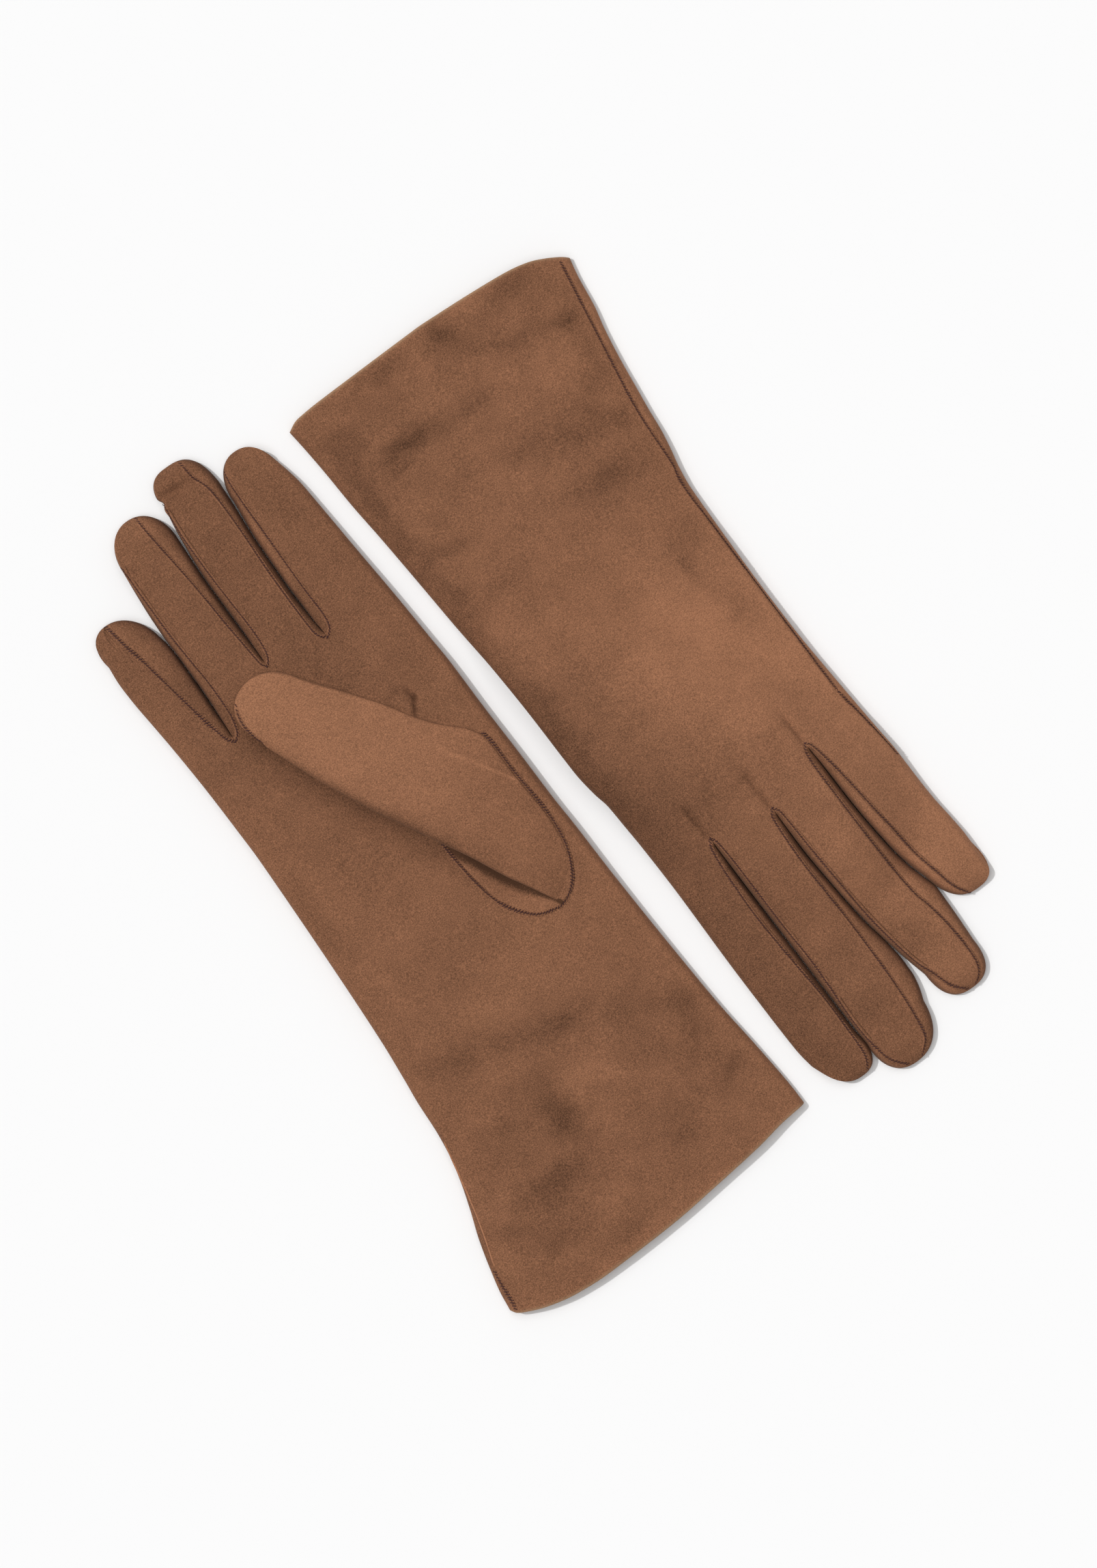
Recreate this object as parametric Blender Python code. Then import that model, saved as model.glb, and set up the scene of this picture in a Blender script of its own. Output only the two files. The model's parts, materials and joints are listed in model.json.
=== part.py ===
"""A pair of four-button suede gloves, lying flat side by side, fingers to opposite ends.

Each glove is cut and sewn as a real one is. The trank is one skin that wraps round the hand from the side
seam at the little finger, over the palm, round the index finger's fold and back. Fourchettes are the side
walls of the fingers. The thumb is its own piece, sewn into a hole in the palm. The trank is divided here at
the lines where a glove bends: panels keep their shape, and creases between them are the leather that folds.

Local frame of a glove, in millimetres: x across, from the little finger (-) to the index finger (+); y along,
towards the fingertips; z up from the surface that the glove lies on.
"""

import math

import bmesh
import bpy
import numpy as np
from mathutils import Matrix

MM = 0.001

# Driving dimensions, in millimetres.
LEATHER = 0.7  # thickness of the suede
SEAM_GAP = 0.3  # between two sewn edges
BEND_GAP = 5.0  # from a bend line to the panels on its two sides
HAND_THICKNESS = 10.0  # of the empty glove, palm to back
FINGER_THICKNESS = 9.4
UNDER_SHARE = 0.4  # of the thickness that lies below the folded edges
EDGE_ROUND = 16.0  # how far the upper side curves down to a folded edge
UNDER_ROUND = 5.0
RIM_SHARE = 0.72  # height of a finger's seam, as a share of its crown's
WALL_INSET = 3.0  # from a finger's outline to the seam on its under side
HEM_SHARE = 12.0 / 90.0  # of the cuff's length that the turned hem takes
HEM_LEATHER = 2 * LEATHER + 0.1  # the hem's two layers
SIDE_SEAM_OPENING = 0.028  # of half a turn round the hand, left open where the side seam is
FINGER_SEAM_TRIM = 0.26  # from a finger's seam to the edge of each piece beside it
THREAD_RADIUS = 0.22
THREAD_LIFT = 0.42  # from a seam to the middle of its thread
THUMB_CLEARANCE = 0.8
THUMB_THICKNESS = 8.0
THUMB_THICKNESS_UNDER = 7.2  # of the thumb that the left glove lies on
THUMB_CREASE_START = 0.9  # from the thumb's bend line
THUMB_BASE_SHARE = 0.86  # of the thumb's thickness, at the crown of its base
LIFT_RADIUS = 19.0  # round a thumb folded under the palm, where the palm lies on it
LIFT_FALL = 24.0  # over which the palm comes down beside it
HOLE_THREAD_OFFSET = 1.1  # of the thumb hole's thread, outwards and up
KNUCKLE_GAP = 0.9  # from the hand's panel to the fingers' creases

AROUND_HAND = 28
AROUND_THUMB = 14

# Where the thumb leaves the palm: the middle of its bend line, and the way it points.
THUMB_ROOT = (25.5, 21.0)
THUMB_TILT = math.radians(24.8)
THUMB_LENGTH = 83.5
THUMB_TIP_ACROSS = -9.5
THUMB_CAP = 70.0  # the rounded tip starts here
THUMB_LEFT = [(-5, -19.8), (17, -22.3), (55, -22.2), (70, -20.6)]
THUMB_RIGHT = [(-5, 21.5), (5, 19.7), (18, 15.3), (37, 11.2), (53, 7.5), (70, 3.2)]
# The thumb's base, sewn into the palm, from the bottom of the hole up to the bend line.
BASE_LEFT = [(0, 27.0, -31.3), (0.2, 20.5, -28.2), (0.45, 13.5, -17.5), (0.75, 10.0, -2.0), (1, 9.6, 12.6)]
BASE_RIGHT = [(0, 31.0, -31.3), (0.2, 39.0, -25.0), (0.45, 43.9, -13.0), (0.75, 44.4, 7.0), (1, 43.3, 28.2)]
THUMB_HOLE = (27.0, -3.0, 13.0, 18.0)  # centre and half sizes

# A finger: its bend line, where the rounded tip starts, the tip, both outlines, and the two upper seams.
# Outlines and seams are (y, x) points. A missing seam is a fold or the side seam, on the outline.
RIGHT = {
    "name": "right",
    "palm_up": True,
    "place": (0.0, 0.0, 0.0),
    "thumb_shift": 0.0,
    "wrist": -48.0,
    "little_side": [(-145, -65.8), (-130, -62.9), (-110, -58.8), (-90, -53.4), (-72, -49.9), (-40, -47.7),
                    (-10, -46.1), (30, -45.9), (60, -46.8), (95, -49.8)],
    "index_side": [(-145, 60.8), (-110, 57.4), (-70, 53.8), (-30, 51.0), (10, 49.2), (50, 46.9), (100, 43.6)],
    "hem": [(-1, -136), (-0.94, -139), (-0.78, -142.4), (-0.5, -144.6), (0.03, -143.2), (0.5, -139.6),
            (1, -135.2)],
    "knuckles": [(-1, 80), (-0.62, 82.5), (-0.5, 87), (-0.2, 94.5), (0.42, 94.5), (1, 89)],
    "fingers": {
        "little": {
            "bend": 89.0, "cap": 125.0, "tip": (137.3, -43.5),
            "left": [(78, -48.2), (95, -49.8), (110, -51.1), (122, -51.5), (130, -50.8)],
            "right": [(78, -30.0), (95, -29.8), (110, -29.9), (122, -30.5), (130, -32.6)],
            "seam_right": [(78, -31.5), (87, -33.5), (108, -37.5), (130, -42)],
        },
        "ring": {
            "bend": 101.0, "cap": 149.0, "tip": (162.8, -16.5),
            "left": [(78, -28.6), (110, -28.8), (122, -29.4), (135, -29.1), (152, -28.0)],
            "right": [(90, -5.9), (130, -5.8), (152, -6.0)],
            "seam_left": [(78, -25.2), (105, -25.5), (120, -26.7), (152, -26.2)],
            "seam_right": [(90, -7.0), (110, -8.5), (130, -10.2), (152, -12.9)],
        },
        "middle": {
            "bend": 101.0, "cap": 156.0, "tip": (170.3, 5.5),
            "left": [(88, -5.0), (130, -4.9), (152, -5.1), (160, -4.8)],
            "right": [(88, 15.6), (130, 15.5), (152, 16.2), (160, 16.4)],
            "seam_left": [(88, -3.4), (100, -2.7), (122, -3.4), (152, -3.6)],
            "seam_right": [(88, 14.4), (110, 13.2), (140, 13.3), (160, 12.6)],
        },
        "index": {
            "bend": 99.0, "cap": 147.0, "tip": (161.3, 27.0),
            "left": [(88, 16.6), (130, 16.6), (150, 17.0)],
            "right": [(88, 44.4), (110, 42.8), (130, 40.4), (141, 39.0), (150, 37.4)],
            "seam_left": [(88, 18.9), (98, 20.3), (130, 19.4), (150, 19.6)],
        },
    },
}
LEFT = {
    "name": "left",
    "palm_up": False,
    "place": (105.7, 19.8, 181.9),
    "thumb_shift": -5.5,
    "wrist": -50.0,
    "little_side": [(-141, -61.2), (-128, -58.8), (-110, -55.5), (-90, -52.0), (-70, -49.8), (-50, -46.5),
                    (-30, -44.9), (0, -44.5), (40, -45.2), (70, -47.6), (90, -47.9)],
    "index_side": [(-141, 54.9), (-110, 52.8), (-70, 50.0), (-30, 47.6), (12, 46.2), (32, 43.9), (60, 42.6),
                   (95, 42.7)],
    "hem": [(-1, -128.5), (-0.91, -132), (-0.84, -134.7), (-0.67, -137), (-0.31, -139), (0.04, -140.4),
            (0.74, -140.2), (1, -138.2)],
    "knuckles": [(-1, 73), (-0.62, 76.5), (-0.5, 81), (-0.2, 88.5), (0.42, 88.5), (1, 83)],
    "fingers": {
        "little": {
            "bend": 83.0, "cap": 117.0, "tip": (129.8, -41.5),
            "left": [(70, -47.6), (90, -47.9), (105, -49.1), (115, -49.5), (122, -48.8)],
            "right": [(70, -25.8), (95, -27.9), (110, -29.4), (122, -32.0)],
            "seam_right": [(70, -27.5), (88, -29.2), (104, -30.8), (122, -34.6)],
        },
        "ring": {
            "bend": 95.0, "cap": 142.0, "tip": (156.3, -20.5),
            "left": [(72, -24.6), (95, -26.7), (110, -28.2), (121, -29.8), (135, -30.3), (146, -29.4)],
            "right": [(80, -1.8), (95, -2.5), (115, -4.1), (125, -5.3), (134, -7.0), (146, -10.2)],
            "seam_left": [(72, -21.5), (100, -21.8), (117, -23.0), (130, -25.5), (146, -26.3)],
            "seam_right": [(80, -3.2), (98, -4.0), (118, -5.7), (134, -8.5), (146, -11.6)],
        },
        "middle": {
            "bend": 95.0, "cap": 150.0, "tip": (165.1, 10.5),
            "left": [(82, -0.9), (105, -2.1), (125, -4.3), (134, -6.0), (140, -6.1), (154, -3.0)],
            "right": [(82, 21.0), (120, 20.7), (154, 21.0)],
            "seam_left": [(82, 1.5), (100, 0.8), (130, 0.7), (154, 2.3)],
            "seam_right": [(82, 20.0), (110, 19.2), (140, 19.9), (154, 19.2)],
        },
        "index": {
            "bend": 93.0, "cap": 143.0, "tip": (158.1, 28.5),
            "left": [(82, 22.1), (120, 21.8), (150, 21.8)],
            "right": [(82, 42.6), (120, 42.6), (140, 42.0), (150, 40.4)],
            "seam_left": [(82, 25.1), (90, 25.4), (120, 24.0), (150, 24.0)],
        },
    },
}
SUEDE = ("suede", (0.216, 0.103, 0.054), 0.92)
THREAD = ("thread", (0.040, 0.018, 0.018), 0.7)


def through(points, at):
    """The smooth curve through (station, value) points, read at a station."""
    station, value = np.array(points, float).T
    slope = np.gradient(value, station)
    at = np.clip(at, station[0], station[-1])
    i = np.clip(np.searchsorted(station, at) - 1, 0, len(station) - 2)
    span = station[i + 1] - station[i]
    t = (at - station[i]) / span
    return (
        (1 + 2 * t) * (1 - t) ** 2 * value[i]
        + t * (1 - t) ** 2 * span * slope[i]
        + t * t * (3 - 2 * t) * value[i + 1]
        + t * t * (t - 1) * span * slope[i + 1]
    )


def smooth_step(t):
    t = min(max(t, 0.0), 1.0)
    return t * t * (3 - 2 * t)


def rounding(distance, radius):
    """0 at a folded edge, rising to 1 at the radius, upright at the edge as a fold is."""
    share = min(max(distance / radius, 0.0), 1.0)
    return math.sqrt(1 - (1 - share) ** 2)


def thumb_point(glove, along, across):
    """From the thumb's own frame, along it from its bend line, to the glove's x and y."""
    c, s = math.cos(THUMB_TILT), math.sin(THUMB_TILT)
    root_y = THUMB_ROOT[1] + glove["thumb_shift"]
    return THUMB_ROOT[0] - s * along + c * across, root_y + c * along + s * across


def lift(glove, x, y):
    """How far the palm is held up by a thumb folded under it."""
    if glove["palm_up"]:
        return 0.0
    start, end = np.array(thumb_point(glove, -26, -3)), np.array(thumb_point(glove, 66, -9))
    axis = end - start
    share = np.clip((np.array([x, y]) - start) @ axis / (axis @ axis), 0, 1)
    beyond = np.linalg.norm(np.array([x, y]) - start - share * axis) - LIFT_RADIUS
    return (THUMB_THICKNESS_UNDER + THUMB_CLEARANCE) * (1 - smooth_step(beyond / LIFT_FALL))


def hand_height(glove, x, y, upper, inset=0.0):
    """Height of the hand's upper or under side at x and y."""
    left, right = through(glove["little_side"], y), through(glove["index_side"], y)
    inside = min(x - left, right - x) - inset
    fold = lift(glove, x, y) + UNDER_SHARE * HAND_THICKNESS
    if upper:
        return fold + ((1 - UNDER_SHARE) * HAND_THICKNESS - inset) * rounding(inside, EDGE_ROUND)
    return fold - (UNDER_SHARE * HAND_THICKNESS - inset) * rounding(inside, UNDER_ROUND)


def hand_point(glove, y, angle, inset=0.0):
    """A point on the tube of the hand and cuff. Angle 0 is the index fold, 90 degrees the upper side and 180 the
    side seam."""
    left, right = through(glove["little_side"], y), through(glove["index_side"], y)
    x = (left + right) / 2 + ((right - left) / 2 - inset) * math.cos(angle)
    return x, y, hand_height(glove, x, y, math.sin(angle) >= 0, inset)


def palm_height(glove, x, y):
    """Height of the palm's outer face: the upper side of a glove lying palm up, the under side of the other."""
    return hand_height(glove, x, y, glove["palm_up"])


def finger_edges(finger, y):
    """The finger's outlines, upper seams and under seams at y, drawn in towards its tip, and by how much."""
    cap, (tip_y, tip_x) = finger["cap"], finger["tip"]
    nominal = min(y, cap)
    left, right = through(finger["left"], nominal), through(finger["right"], nominal)
    seam_left = through(finger["seam_left"], nominal) if "seam_left" in finger else left + WALL_INSET
    seam_right = through(finger["seam_right"], nominal) if "seam_right" in finger else right - WALL_INSET
    middle = (left + right) / 2
    beyond = max(0.0, (y - cap) / (tip_y - cap))
    width = math.sqrt(max(1 - beyond**2, 0.0))
    centre = middle + (tip_x - middle) * beyond
    edges = [left, right, seam_left, seam_right, left + WALL_INSET, right - WALL_INSET]
    return [centre + width * (edge - middle) for edge in edges], width


def finger_point(glove, finger, y, around, inset=0.0):
    """A point of the finger's skin at y. Around it, 0 to 1 is the upper side from left to right, 1 to 2 the
    right side, 2 to 3 the under side and 3 to 4 the left side."""
    (left, right, seam_left, seam_right, under_left, under_right), width = finger_edges(finger, y)
    inset *= min(1.0, 2.5 * width)
    fold = UNDER_SHARE * FINGER_THICKNESS
    upper = (1 - UNDER_SHARE) * FINGER_THICKNESS * width - inset
    under = UNDER_SHARE * FINGER_THICKNESS * width - inset
    around %= 4
    if around < 1:
        x = seam_left + inset + around * (seam_right - seam_left - 2 * inset)
        crown = math.sin(math.pi / 2 * min(1.0, 2.2 * min(around, 1 - around)))
        z = fold + upper * (RIM_SHARE + (1 - RIM_SHARE) * crown)
    elif 2 <= around < 3:
        x = under_right - inset + (around - 2) * (under_left - under_right + 2 * inset)
        z = fold - under
    else:
        turn = around - 1 if around < 2 else 4 - around
        into = -inset if around < 2 else inset
        outline, seam, foot = (right, seam_right, under_right) if around < 2 else (left, seam_left, under_left)
        bow = math.sin(math.pi * turn)
        height = math.cos(math.pi * turn)
        start = seam if turn < 0.5 else foot
        x = start + (outline - start) * bow + into
        z = fold + (upper * RIM_SHARE if turn < 0.5 else under) * height
    return x, y, z + lift(glove, x, y)


def spaced(first, last, count):
    return list(np.linspace(first, last, count))


def material(name, colour, roughness):
    made = bpy.data.materials.get(name)
    if made:
        return made
    made = bpy.data.materials.new(name)
    made.use_nodes = True
    shader = made.node_tree.nodes["Principled BSDF"]
    shader.inputs["Base Color"].default_value = (*colour, 1.0)
    shader.inputs["Roughness"].default_value = roughness
    shader.inputs["Metallic"].default_value = 0.0
    return made


def add(name, mesh_or_curve, finish, parent, collection):
    obj = bpy.data.objects.new(name, mesh_or_curve)
    obj.data.materials.append(material(*finish))
    obj.parent = parent
    collection.objects.link(obj)
    return obj


def leather(name, outer, inner, parent, collection, closed=False, tipped=False):
    """A piece of leather as a loft between rows of points on its two faces. A closed one is a tube, and a
    tipped tube is shut at its last row."""
    shape = bmesh.new()
    faces = [
        [[shape.verts.new([c * MM for c in point]) for point in row] for row in rows] for rows in (outer, inner)
    ]
    across = len(outer[0])
    steps = across if closed else across - 1
    for grid in faces:
        for lower, upper in zip(grid, grid[1:]):
            for i in range(steps):
                j = (i + 1) % across
                shape.faces.new([lower[i], lower[j], upper[j], upper[i]])
    for end in (0, -1):
        for i in range(steps):
            j = (i + 1) % across
            if end == 0 or not tipped:
                shape.faces.new([faces[0][end][i], faces[0][end][j], faces[1][end][j], faces[1][end][i]])
    if tipped:
        for grid in faces:
            shape.faces.new(grid[-1])
    if not closed:
        for end in (0, -1):
            one, other = ([row[end] for row in grid] for grid in faces)
            for i in range(len(one) - 1):
                shape.faces.new([one[i], one[i + 1], other[i + 1], other[i]])
    bmesh.ops.recalc_face_normals(shape, faces=shape.faces)
    if shape.calc_volume(signed=True) < 0:
        bmesh.ops.reverse_faces(shape, faces=shape.faces)
    mesh = bpy.data.meshes.new(name)
    shape.to_mesh(mesh)
    shape.free()
    mesh.shade_smooth()
    return add(name, mesh, SUEDE, parent, collection)


def thread(name, points, parent, collection):
    """A sewing thread along a seam."""
    curve = bpy.data.curves.new(name, "CURVE")
    curve.dimensions = "3D"
    curve.bevel_depth = THREAD_RADIUS * MM
    curve.bevel_resolution = 0
    curve.use_fill_caps = True
    spline = curve.splines.new("POLY")
    spline.points.add(len(points) - 1)
    for point, place in zip(spline.points, points):
        point.co = (*[c * MM for c in place], 1.0)
    return add(name, curve, THREAD, parent, collection)


def tube_rows(glove, station, shares, insets):
    """Rows round the hand, from the side seam over the top, round the index fold and back to the seam."""
    first = (1 - SIDE_SEAM_OPENING) * math.pi
    turns = spaced(first, -first, AROUND_HAND + 1)
    return [
        [hand_point(glove, station(share, math.cos(turn)), turn, inset) for turn in turns]
        for share, inset in zip(shares, insets)
    ]


def tube(name, glove, station, shares, parent, collection):
    outer = tube_rows(glove, station, shares, [0.0] * len(shares))
    inner = tube_rows(glove, station, shares, [LEATHER] * len(shares))
    return leather(name, outer, inner, parent, collection)


def seam_point(glove, y):
    """The middle of the side seam's gap, on the little finger's outline."""
    x = float(through(glove["little_side"], y))
    return x + 0.35, y, lift(glove, x, y) + UNDER_SHARE * HAND_THICKNESS


def add_cuff(glove, parent, collection):
    name, wrist = glove["name"], glove["wrist"]

    def station(share, across):
        hem = float(through(glove["hem"], across))
        return hem + share * (wrist - BEND_GAP - hem)

    def crease_station(share, across):
        return wrist + (2 * share - 1) * (BEND_GAP - SEAM_GAP)

    shares = [0, HEM_SHARE, HEM_SHARE + 0.02, 0.35, 0.57, 0.78, 1]
    outer = tube_rows(glove, station, shares, [0.0] * 7)
    inner = tube_rows(glove, station, shares, [HEM_LEATHER] * 2 + [LEATHER] * 5)
    leather(f"{name}_cuff_trank", outer, inner, parent, collection)
    tube(f"{name}_wrist_crease", glove, crease_station, spaced(0, 1, 3), parent, collection)
    seam = [seam_point(glove, station(share, -1)) for share in spaced(0.02, 0.99, 12)]
    thread(f"{name}_cuff_side_seam_thread", seam, parent, collection)


def add_hand(glove, parent, collection, helpers):
    name, wrist = glove["name"], glove["wrist"]

    def station(share, across):
        start = wrist + BEND_GAP
        return start + share * (float(through(glove["knuckles"], across)) - start)

    hand = tube(f"{name}_hand_trank", glove, station, spaced(0, 1, 12), parent, collection)
    cut_thumb_hole(glove, hand, parent, helpers)
    seam = [seam_point(glove, station(share, -1)) for share in spaced(0.01, 0.99, 12)]
    thread(f"{name}_hand_side_seam_thread", seam, parent, collection)


def cut_thumb_hole(glove, hand, empty, helpers):
    x, y, half_x, half_y = THUMB_HOLE
    y += glove["thumb_shift"]
    surface = palm_height(glove, x, y)
    bpy.ops.mesh.primitive_cylinder_add(vertices=16, radius=1.0, depth=1.0)
    cutter = bpy.context.object
    cutter.name = f"{glove['name']}_thumb_hole_cutter"
    cutter.data.transform(Matrix.Diagonal((half_x * MM, half_y * MM, 6 * MM, 1)))
    cutter.parent = empty
    cutter.location = (x * MM, y * MM, surface * MM)
    cutter.hide_render = True
    cutter.display_type = "WIRE"
    for holder in cutter.users_collection:
        holder.objects.unlink(cutter)
    helpers.objects.link(cutter)
    hole = hand.modifiers.new("thumb_hole", "BOOLEAN")
    hole.operation = "DIFFERENCE"
    hole.object = cutter


def outward(glove):
    """Which way the palm faces: up or down."""
    return 1 if glove["palm_up"] else -1


def thumb_thickness(glove):
    return THUMB_THICKNESS if glove["palm_up"] else THUMB_THICKNESS_UNDER


def thumb_loop(glove, along, inset=0.0):
    """A closed section of the thumb, lying on the palm."""
    nominal = min(along, THUMB_CAP)
    left, right = through(THUMB_LEFT, nominal), through(THUMB_RIGHT, nominal)
    middle = (left + right) / 2
    beyond = max(0.0, (along - THUMB_CAP) / (THUMB_LENGTH - THUMB_CAP))
    width = math.sqrt(max(1 - beyond**2, 0.0))
    centre = middle + (THUMB_TIP_ACROSS - middle) * beyond
    half = thumb_thickness(glove) / 2
    points = []
    for i in range(AROUND_THUMB):
        turn = 2 * math.pi * i / AROUND_THUMB
        x, y = thumb_point(glove, along, centre + (width * (right - left) / 2 - inset) * math.cos(turn))
        bulge = math.copysign(abs(math.sin(turn)) ** 0.7, math.sin(turn))
        height = half + (half * max(width, 0.45) - inset) * bulge
        points.append((x, y, palm_height(glove, x, y) + outward(glove) * (THUMB_CLEARANCE + height)))
    return points


def base_point(glove, share, t, inset=0.0):
    """A point of the thumb's base: its share of the way from the bottom of the hole, and t across it."""
    (x0, y0), (x1, y1) = base_edges(glove, share)
    trim = inset / math.hypot(x1 - x0, y1 - y0)
    t = trim + t * (1 - 2 * trim)
    x, y = x0 + t * (x1 - x0), y0 + t * (y1 - y0)
    dome = math.sin(math.pi * t) ** 0.6 * smooth_step(share * 1.15)
    height = THUMB_CLEARANCE + LEATHER - inset + (thumb_thickness(glove) * THUMB_BASE_SHARE - LEATHER) * dome
    return x, y, palm_height(glove, x, y) + outward(glove) * height


def base_edges(glove, share):
    """The two ends, as x and y, of a line across the thumb's base."""
    ends = []
    for outline in (BASE_LEFT, BASE_RIGHT):
        table = np.array(outline)
        x, y = (float(through(table[:, [0, k]], share)) for k in (1, 2))
        ends.append([x, y + glove["thumb_shift"]])
    return ends


def add_thumb(glove, parent, collection):
    name = glove["name"]
    outer = [thumb_loop(glove, s) for s in [BEND_GAP, 18, 34, 50, 62, 70, 75, 79, 82]]
    inner = [thumb_loop(glove, s, LEATHER) for s in [BEND_GAP, 18, 34, 50, 62, 70, 74, 77, 79]]
    leather(f"{name}_thumb", outer, inner, parent, collection, closed=True, tipped=True)
    crease = (THUMB_CREASE_START, BEND_GAP - SEAM_GAP)
    rows = [[thumb_loop(glove, s, inset) for s in crease] for inset in (0.0, LEATHER)]
    leather(f"{name}_thumb_crease", *rows, parent, collection, closed=True)
    shares = [0.0, 0.12, 0.28, 0.5, 0.75, 0.985]
    rows = [
        [[base_point(glove, s, t, inset) for t in spaced(0, 1, 9)] for s in shares] for inset in (0.0, LEATHER)
    ]
    leather(f"{name}_thumb_base", *rows, parent, collection)
    seam = []
    for side, shares in ((0, spaced(0.94, 0, 9)), (1, spaced(0, 0.94, 9))):
        for share in shares:
            x, y = base_edges(glove, share)[side]
            away = np.array([x - THUMB_HOLE[0], y - THUMB_HOLE[1] - glove["thumb_shift"]])
            x, y = (x, y) + away / np.linalg.norm(away) * HOLE_THREAD_OFFSET
            seam.append((x, y, palm_height(glove, x, y) + outward(glove) * HOLE_THREAD_OFFSET))
    thread(f"{name}_thumb_seam_thread", seam, parent, collection)


def tip_stations(finger, start, reach):
    """Stations along a finger, closer together in its rounded tip."""
    cap, tip = finger["cap"], finger["tip"][0]
    return spaced(start, cap, 5) + [cap + (tip - cap) * share for share in reach]


def seam_trim(finger, around):
    """Half the gap at a seam, as a share of the side beyond it."""
    (left, right, seam_left, seam_right, under_left, under_right), _ = finger_edges(finger, finger["cap"] - 5)
    side_height = FINGER_THICKNESS * 0.8 + WALL_INSET
    widths = [
        seam_right - seam_left,
        right - seam_right + side_height,
        under_right - under_left,
        seam_left - left + side_height,
    ]
    return FINGER_SEAM_TRIM / widths[int(around) % 4]


def add_finger(glove, which, parent, collection):
    """The finger's strips of trank, its fourchettes, and the crease at its base."""
    name, finger = f"{glove['name']}_{which}", glove["fingers"][which]
    start = finger["bend"] + BEND_GAP
    outer_stations = tip_stations(finger, start, [0.5, 0.8, 0.95, 0.995])
    inner_stations = tip_stations(finger, start, [0.47, 0.72, 0.83, 0.88])
    upper, under = ("palm", "back") if glove["palm_up"] else ("back", "palm")

    def piece(label, first, last):
        marks = [m / 4 for m in range(math.ceil(4 * first), math.floor(4 * last) + 1)]
        marks[0] += seam_trim(finger, first)
        marks[-1] -= seam_trim(finger, last - 0.01)
        rows = [
            [[finger_point(glove, finger, y, around, inset) for around in marks] for y in stations]
            for stations, inset in ((outer_stations, 0.0), (inner_stations, LEATHER))
        ]
        leather(f"{name}_{label}", *rows, parent, collection)

    if which == "index":
        piece("trank", 0, 3)
        piece("middle_side_fourchette", 3, 4)
    elif which == "little":
        piece(f"{upper}_strip", -0.5, 1)
        piece("ring_side_fourchette", 1, 2)
        piece(f"{under}_strip", 2, 3.5)
    else:
        piece(f"{upper}_strip", 0, 1)
        piece("index_side_fourchette", 1, 2)
        piece(f"{under}_strip", 2, 3)
        piece("little_side_fourchette", 3, 4)
    add_finger_seam(glove, which, parent, collection)
    add_finger_crease(glove, which, parent, collection)


def add_finger_seam(glove, which, parent, collection):
    """The thread of the finger's upper seams, which meet over the tip."""
    finger = glove["fingers"][which]
    stations = tip_stations(finger, finger["bend"] + BEND_GAP + 0.5, [0.5, 0.8, 0.95])
    left = [finger_point(glove, finger, y, 0, -THREAD_LIFT) for y in stations]
    right = [finger_point(glove, finger, y, 1, -THREAD_LIFT) for y in stations]
    tip_x, tip_y = finger["tip"][1], finger["tip"][0] + THREAD_LIFT
    over = (tip_x, tip_y, lift(glove, tip_x, tip_y) + UNDER_SHARE * FINGER_THICKNESS + 0.5)
    path = {"index": left, "little": right[::-1]}.get(which, left + [over] + right[::-1])
    thread(f"{glove['name']}_{which}_seam_thread", path, parent, collection)


def add_finger_crease(glove, which, parent, collection):
    """The leather that folds where the finger leaves the hand: a closed tube, from the hand to the finger."""
    finger = glove["fingers"][which]
    last = finger["bend"] + BEND_GAP - SEAM_GAP
    faces = []
    for inset in (0.0, LEATHER):
        rows = []
        for share in (0.0, 0.5, 1.0):
            row = []
            for around in spaced(0, 4, 17)[:-1]:
                first = knuckle(glove, finger_point(glove, finger, finger["bend"], around)[0]) + KNUCKLE_GAP
                row.append(finger_point(glove, finger, first + share * (last - first), around, inset))
            rows.append(row)
        faces.append(rows)
    leather(f"{glove['name']}_{which}_crease", *faces, parent, collection, closed=True)


def knuckle(glove, x):
    """The y at which the hand's panel ends, for an x."""
    left, right = (float(through(glove[edge], 85)) for edge in ("little_side", "index_side"))
    return float(through(glove["knuckles"], (2 * x - left - right) / (right - left)))


def clear_scene():
    for obj in list(bpy.data.objects):
        bpy.data.objects.remove(obj)


def centre_on_origin(empties):
    """Moves the pair so that the middle of its box, seen from above, is over the origin."""
    bpy.context.view_layer.update()
    graph = bpy.context.evaluated_depsgraph_get()
    corners = []
    for obj in bpy.data.objects:
        if obj.type in ("MESH", "CURVE") and not obj.hide_render:
            seen = obj.evaluated_get(graph)
            mesh = seen.to_mesh()
            corners += [seen.matrix_world @ v.co for v in mesh.vertices]
            seen.to_mesh_clear()
    low, high = np.min(corners, axis=0), np.max(corners, axis=0)
    for empty in empties:
        empty.location.x -= (low[0] + high[0]) / 2
        empty.location.y -= (low[1] + high[1]) / 2
        empty.location.z -= low[2]
    bpy.context.view_layer.update()


def build():
    clear_scene()
    collection = bpy.data.collections.new("gloves")
    helpers = bpy.data.collections.new("cutters")
    for made in (collection, helpers):
        bpy.context.scene.collection.children.link(made)
    empties = []
    for glove in (RIGHT, LEFT):
        empty = bpy.data.objects.new(f"{glove['name']}_glove", None)
        collection.objects.link(empty)
        x, y, turn = glove["place"]
        empty.location = (x * MM, y * MM, 0)
        empty.rotation_euler = (0, 0, math.radians(turn))
        empties.append(empty)
        add_cuff(glove, empty, collection)
        add_hand(glove, empty, collection, helpers)
        add_thumb(glove, empty, collection)
        for which in glove["fingers"]:
            add_finger(glove, which, empty, collection)
    centre_on_origin(empties)


build()
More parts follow.
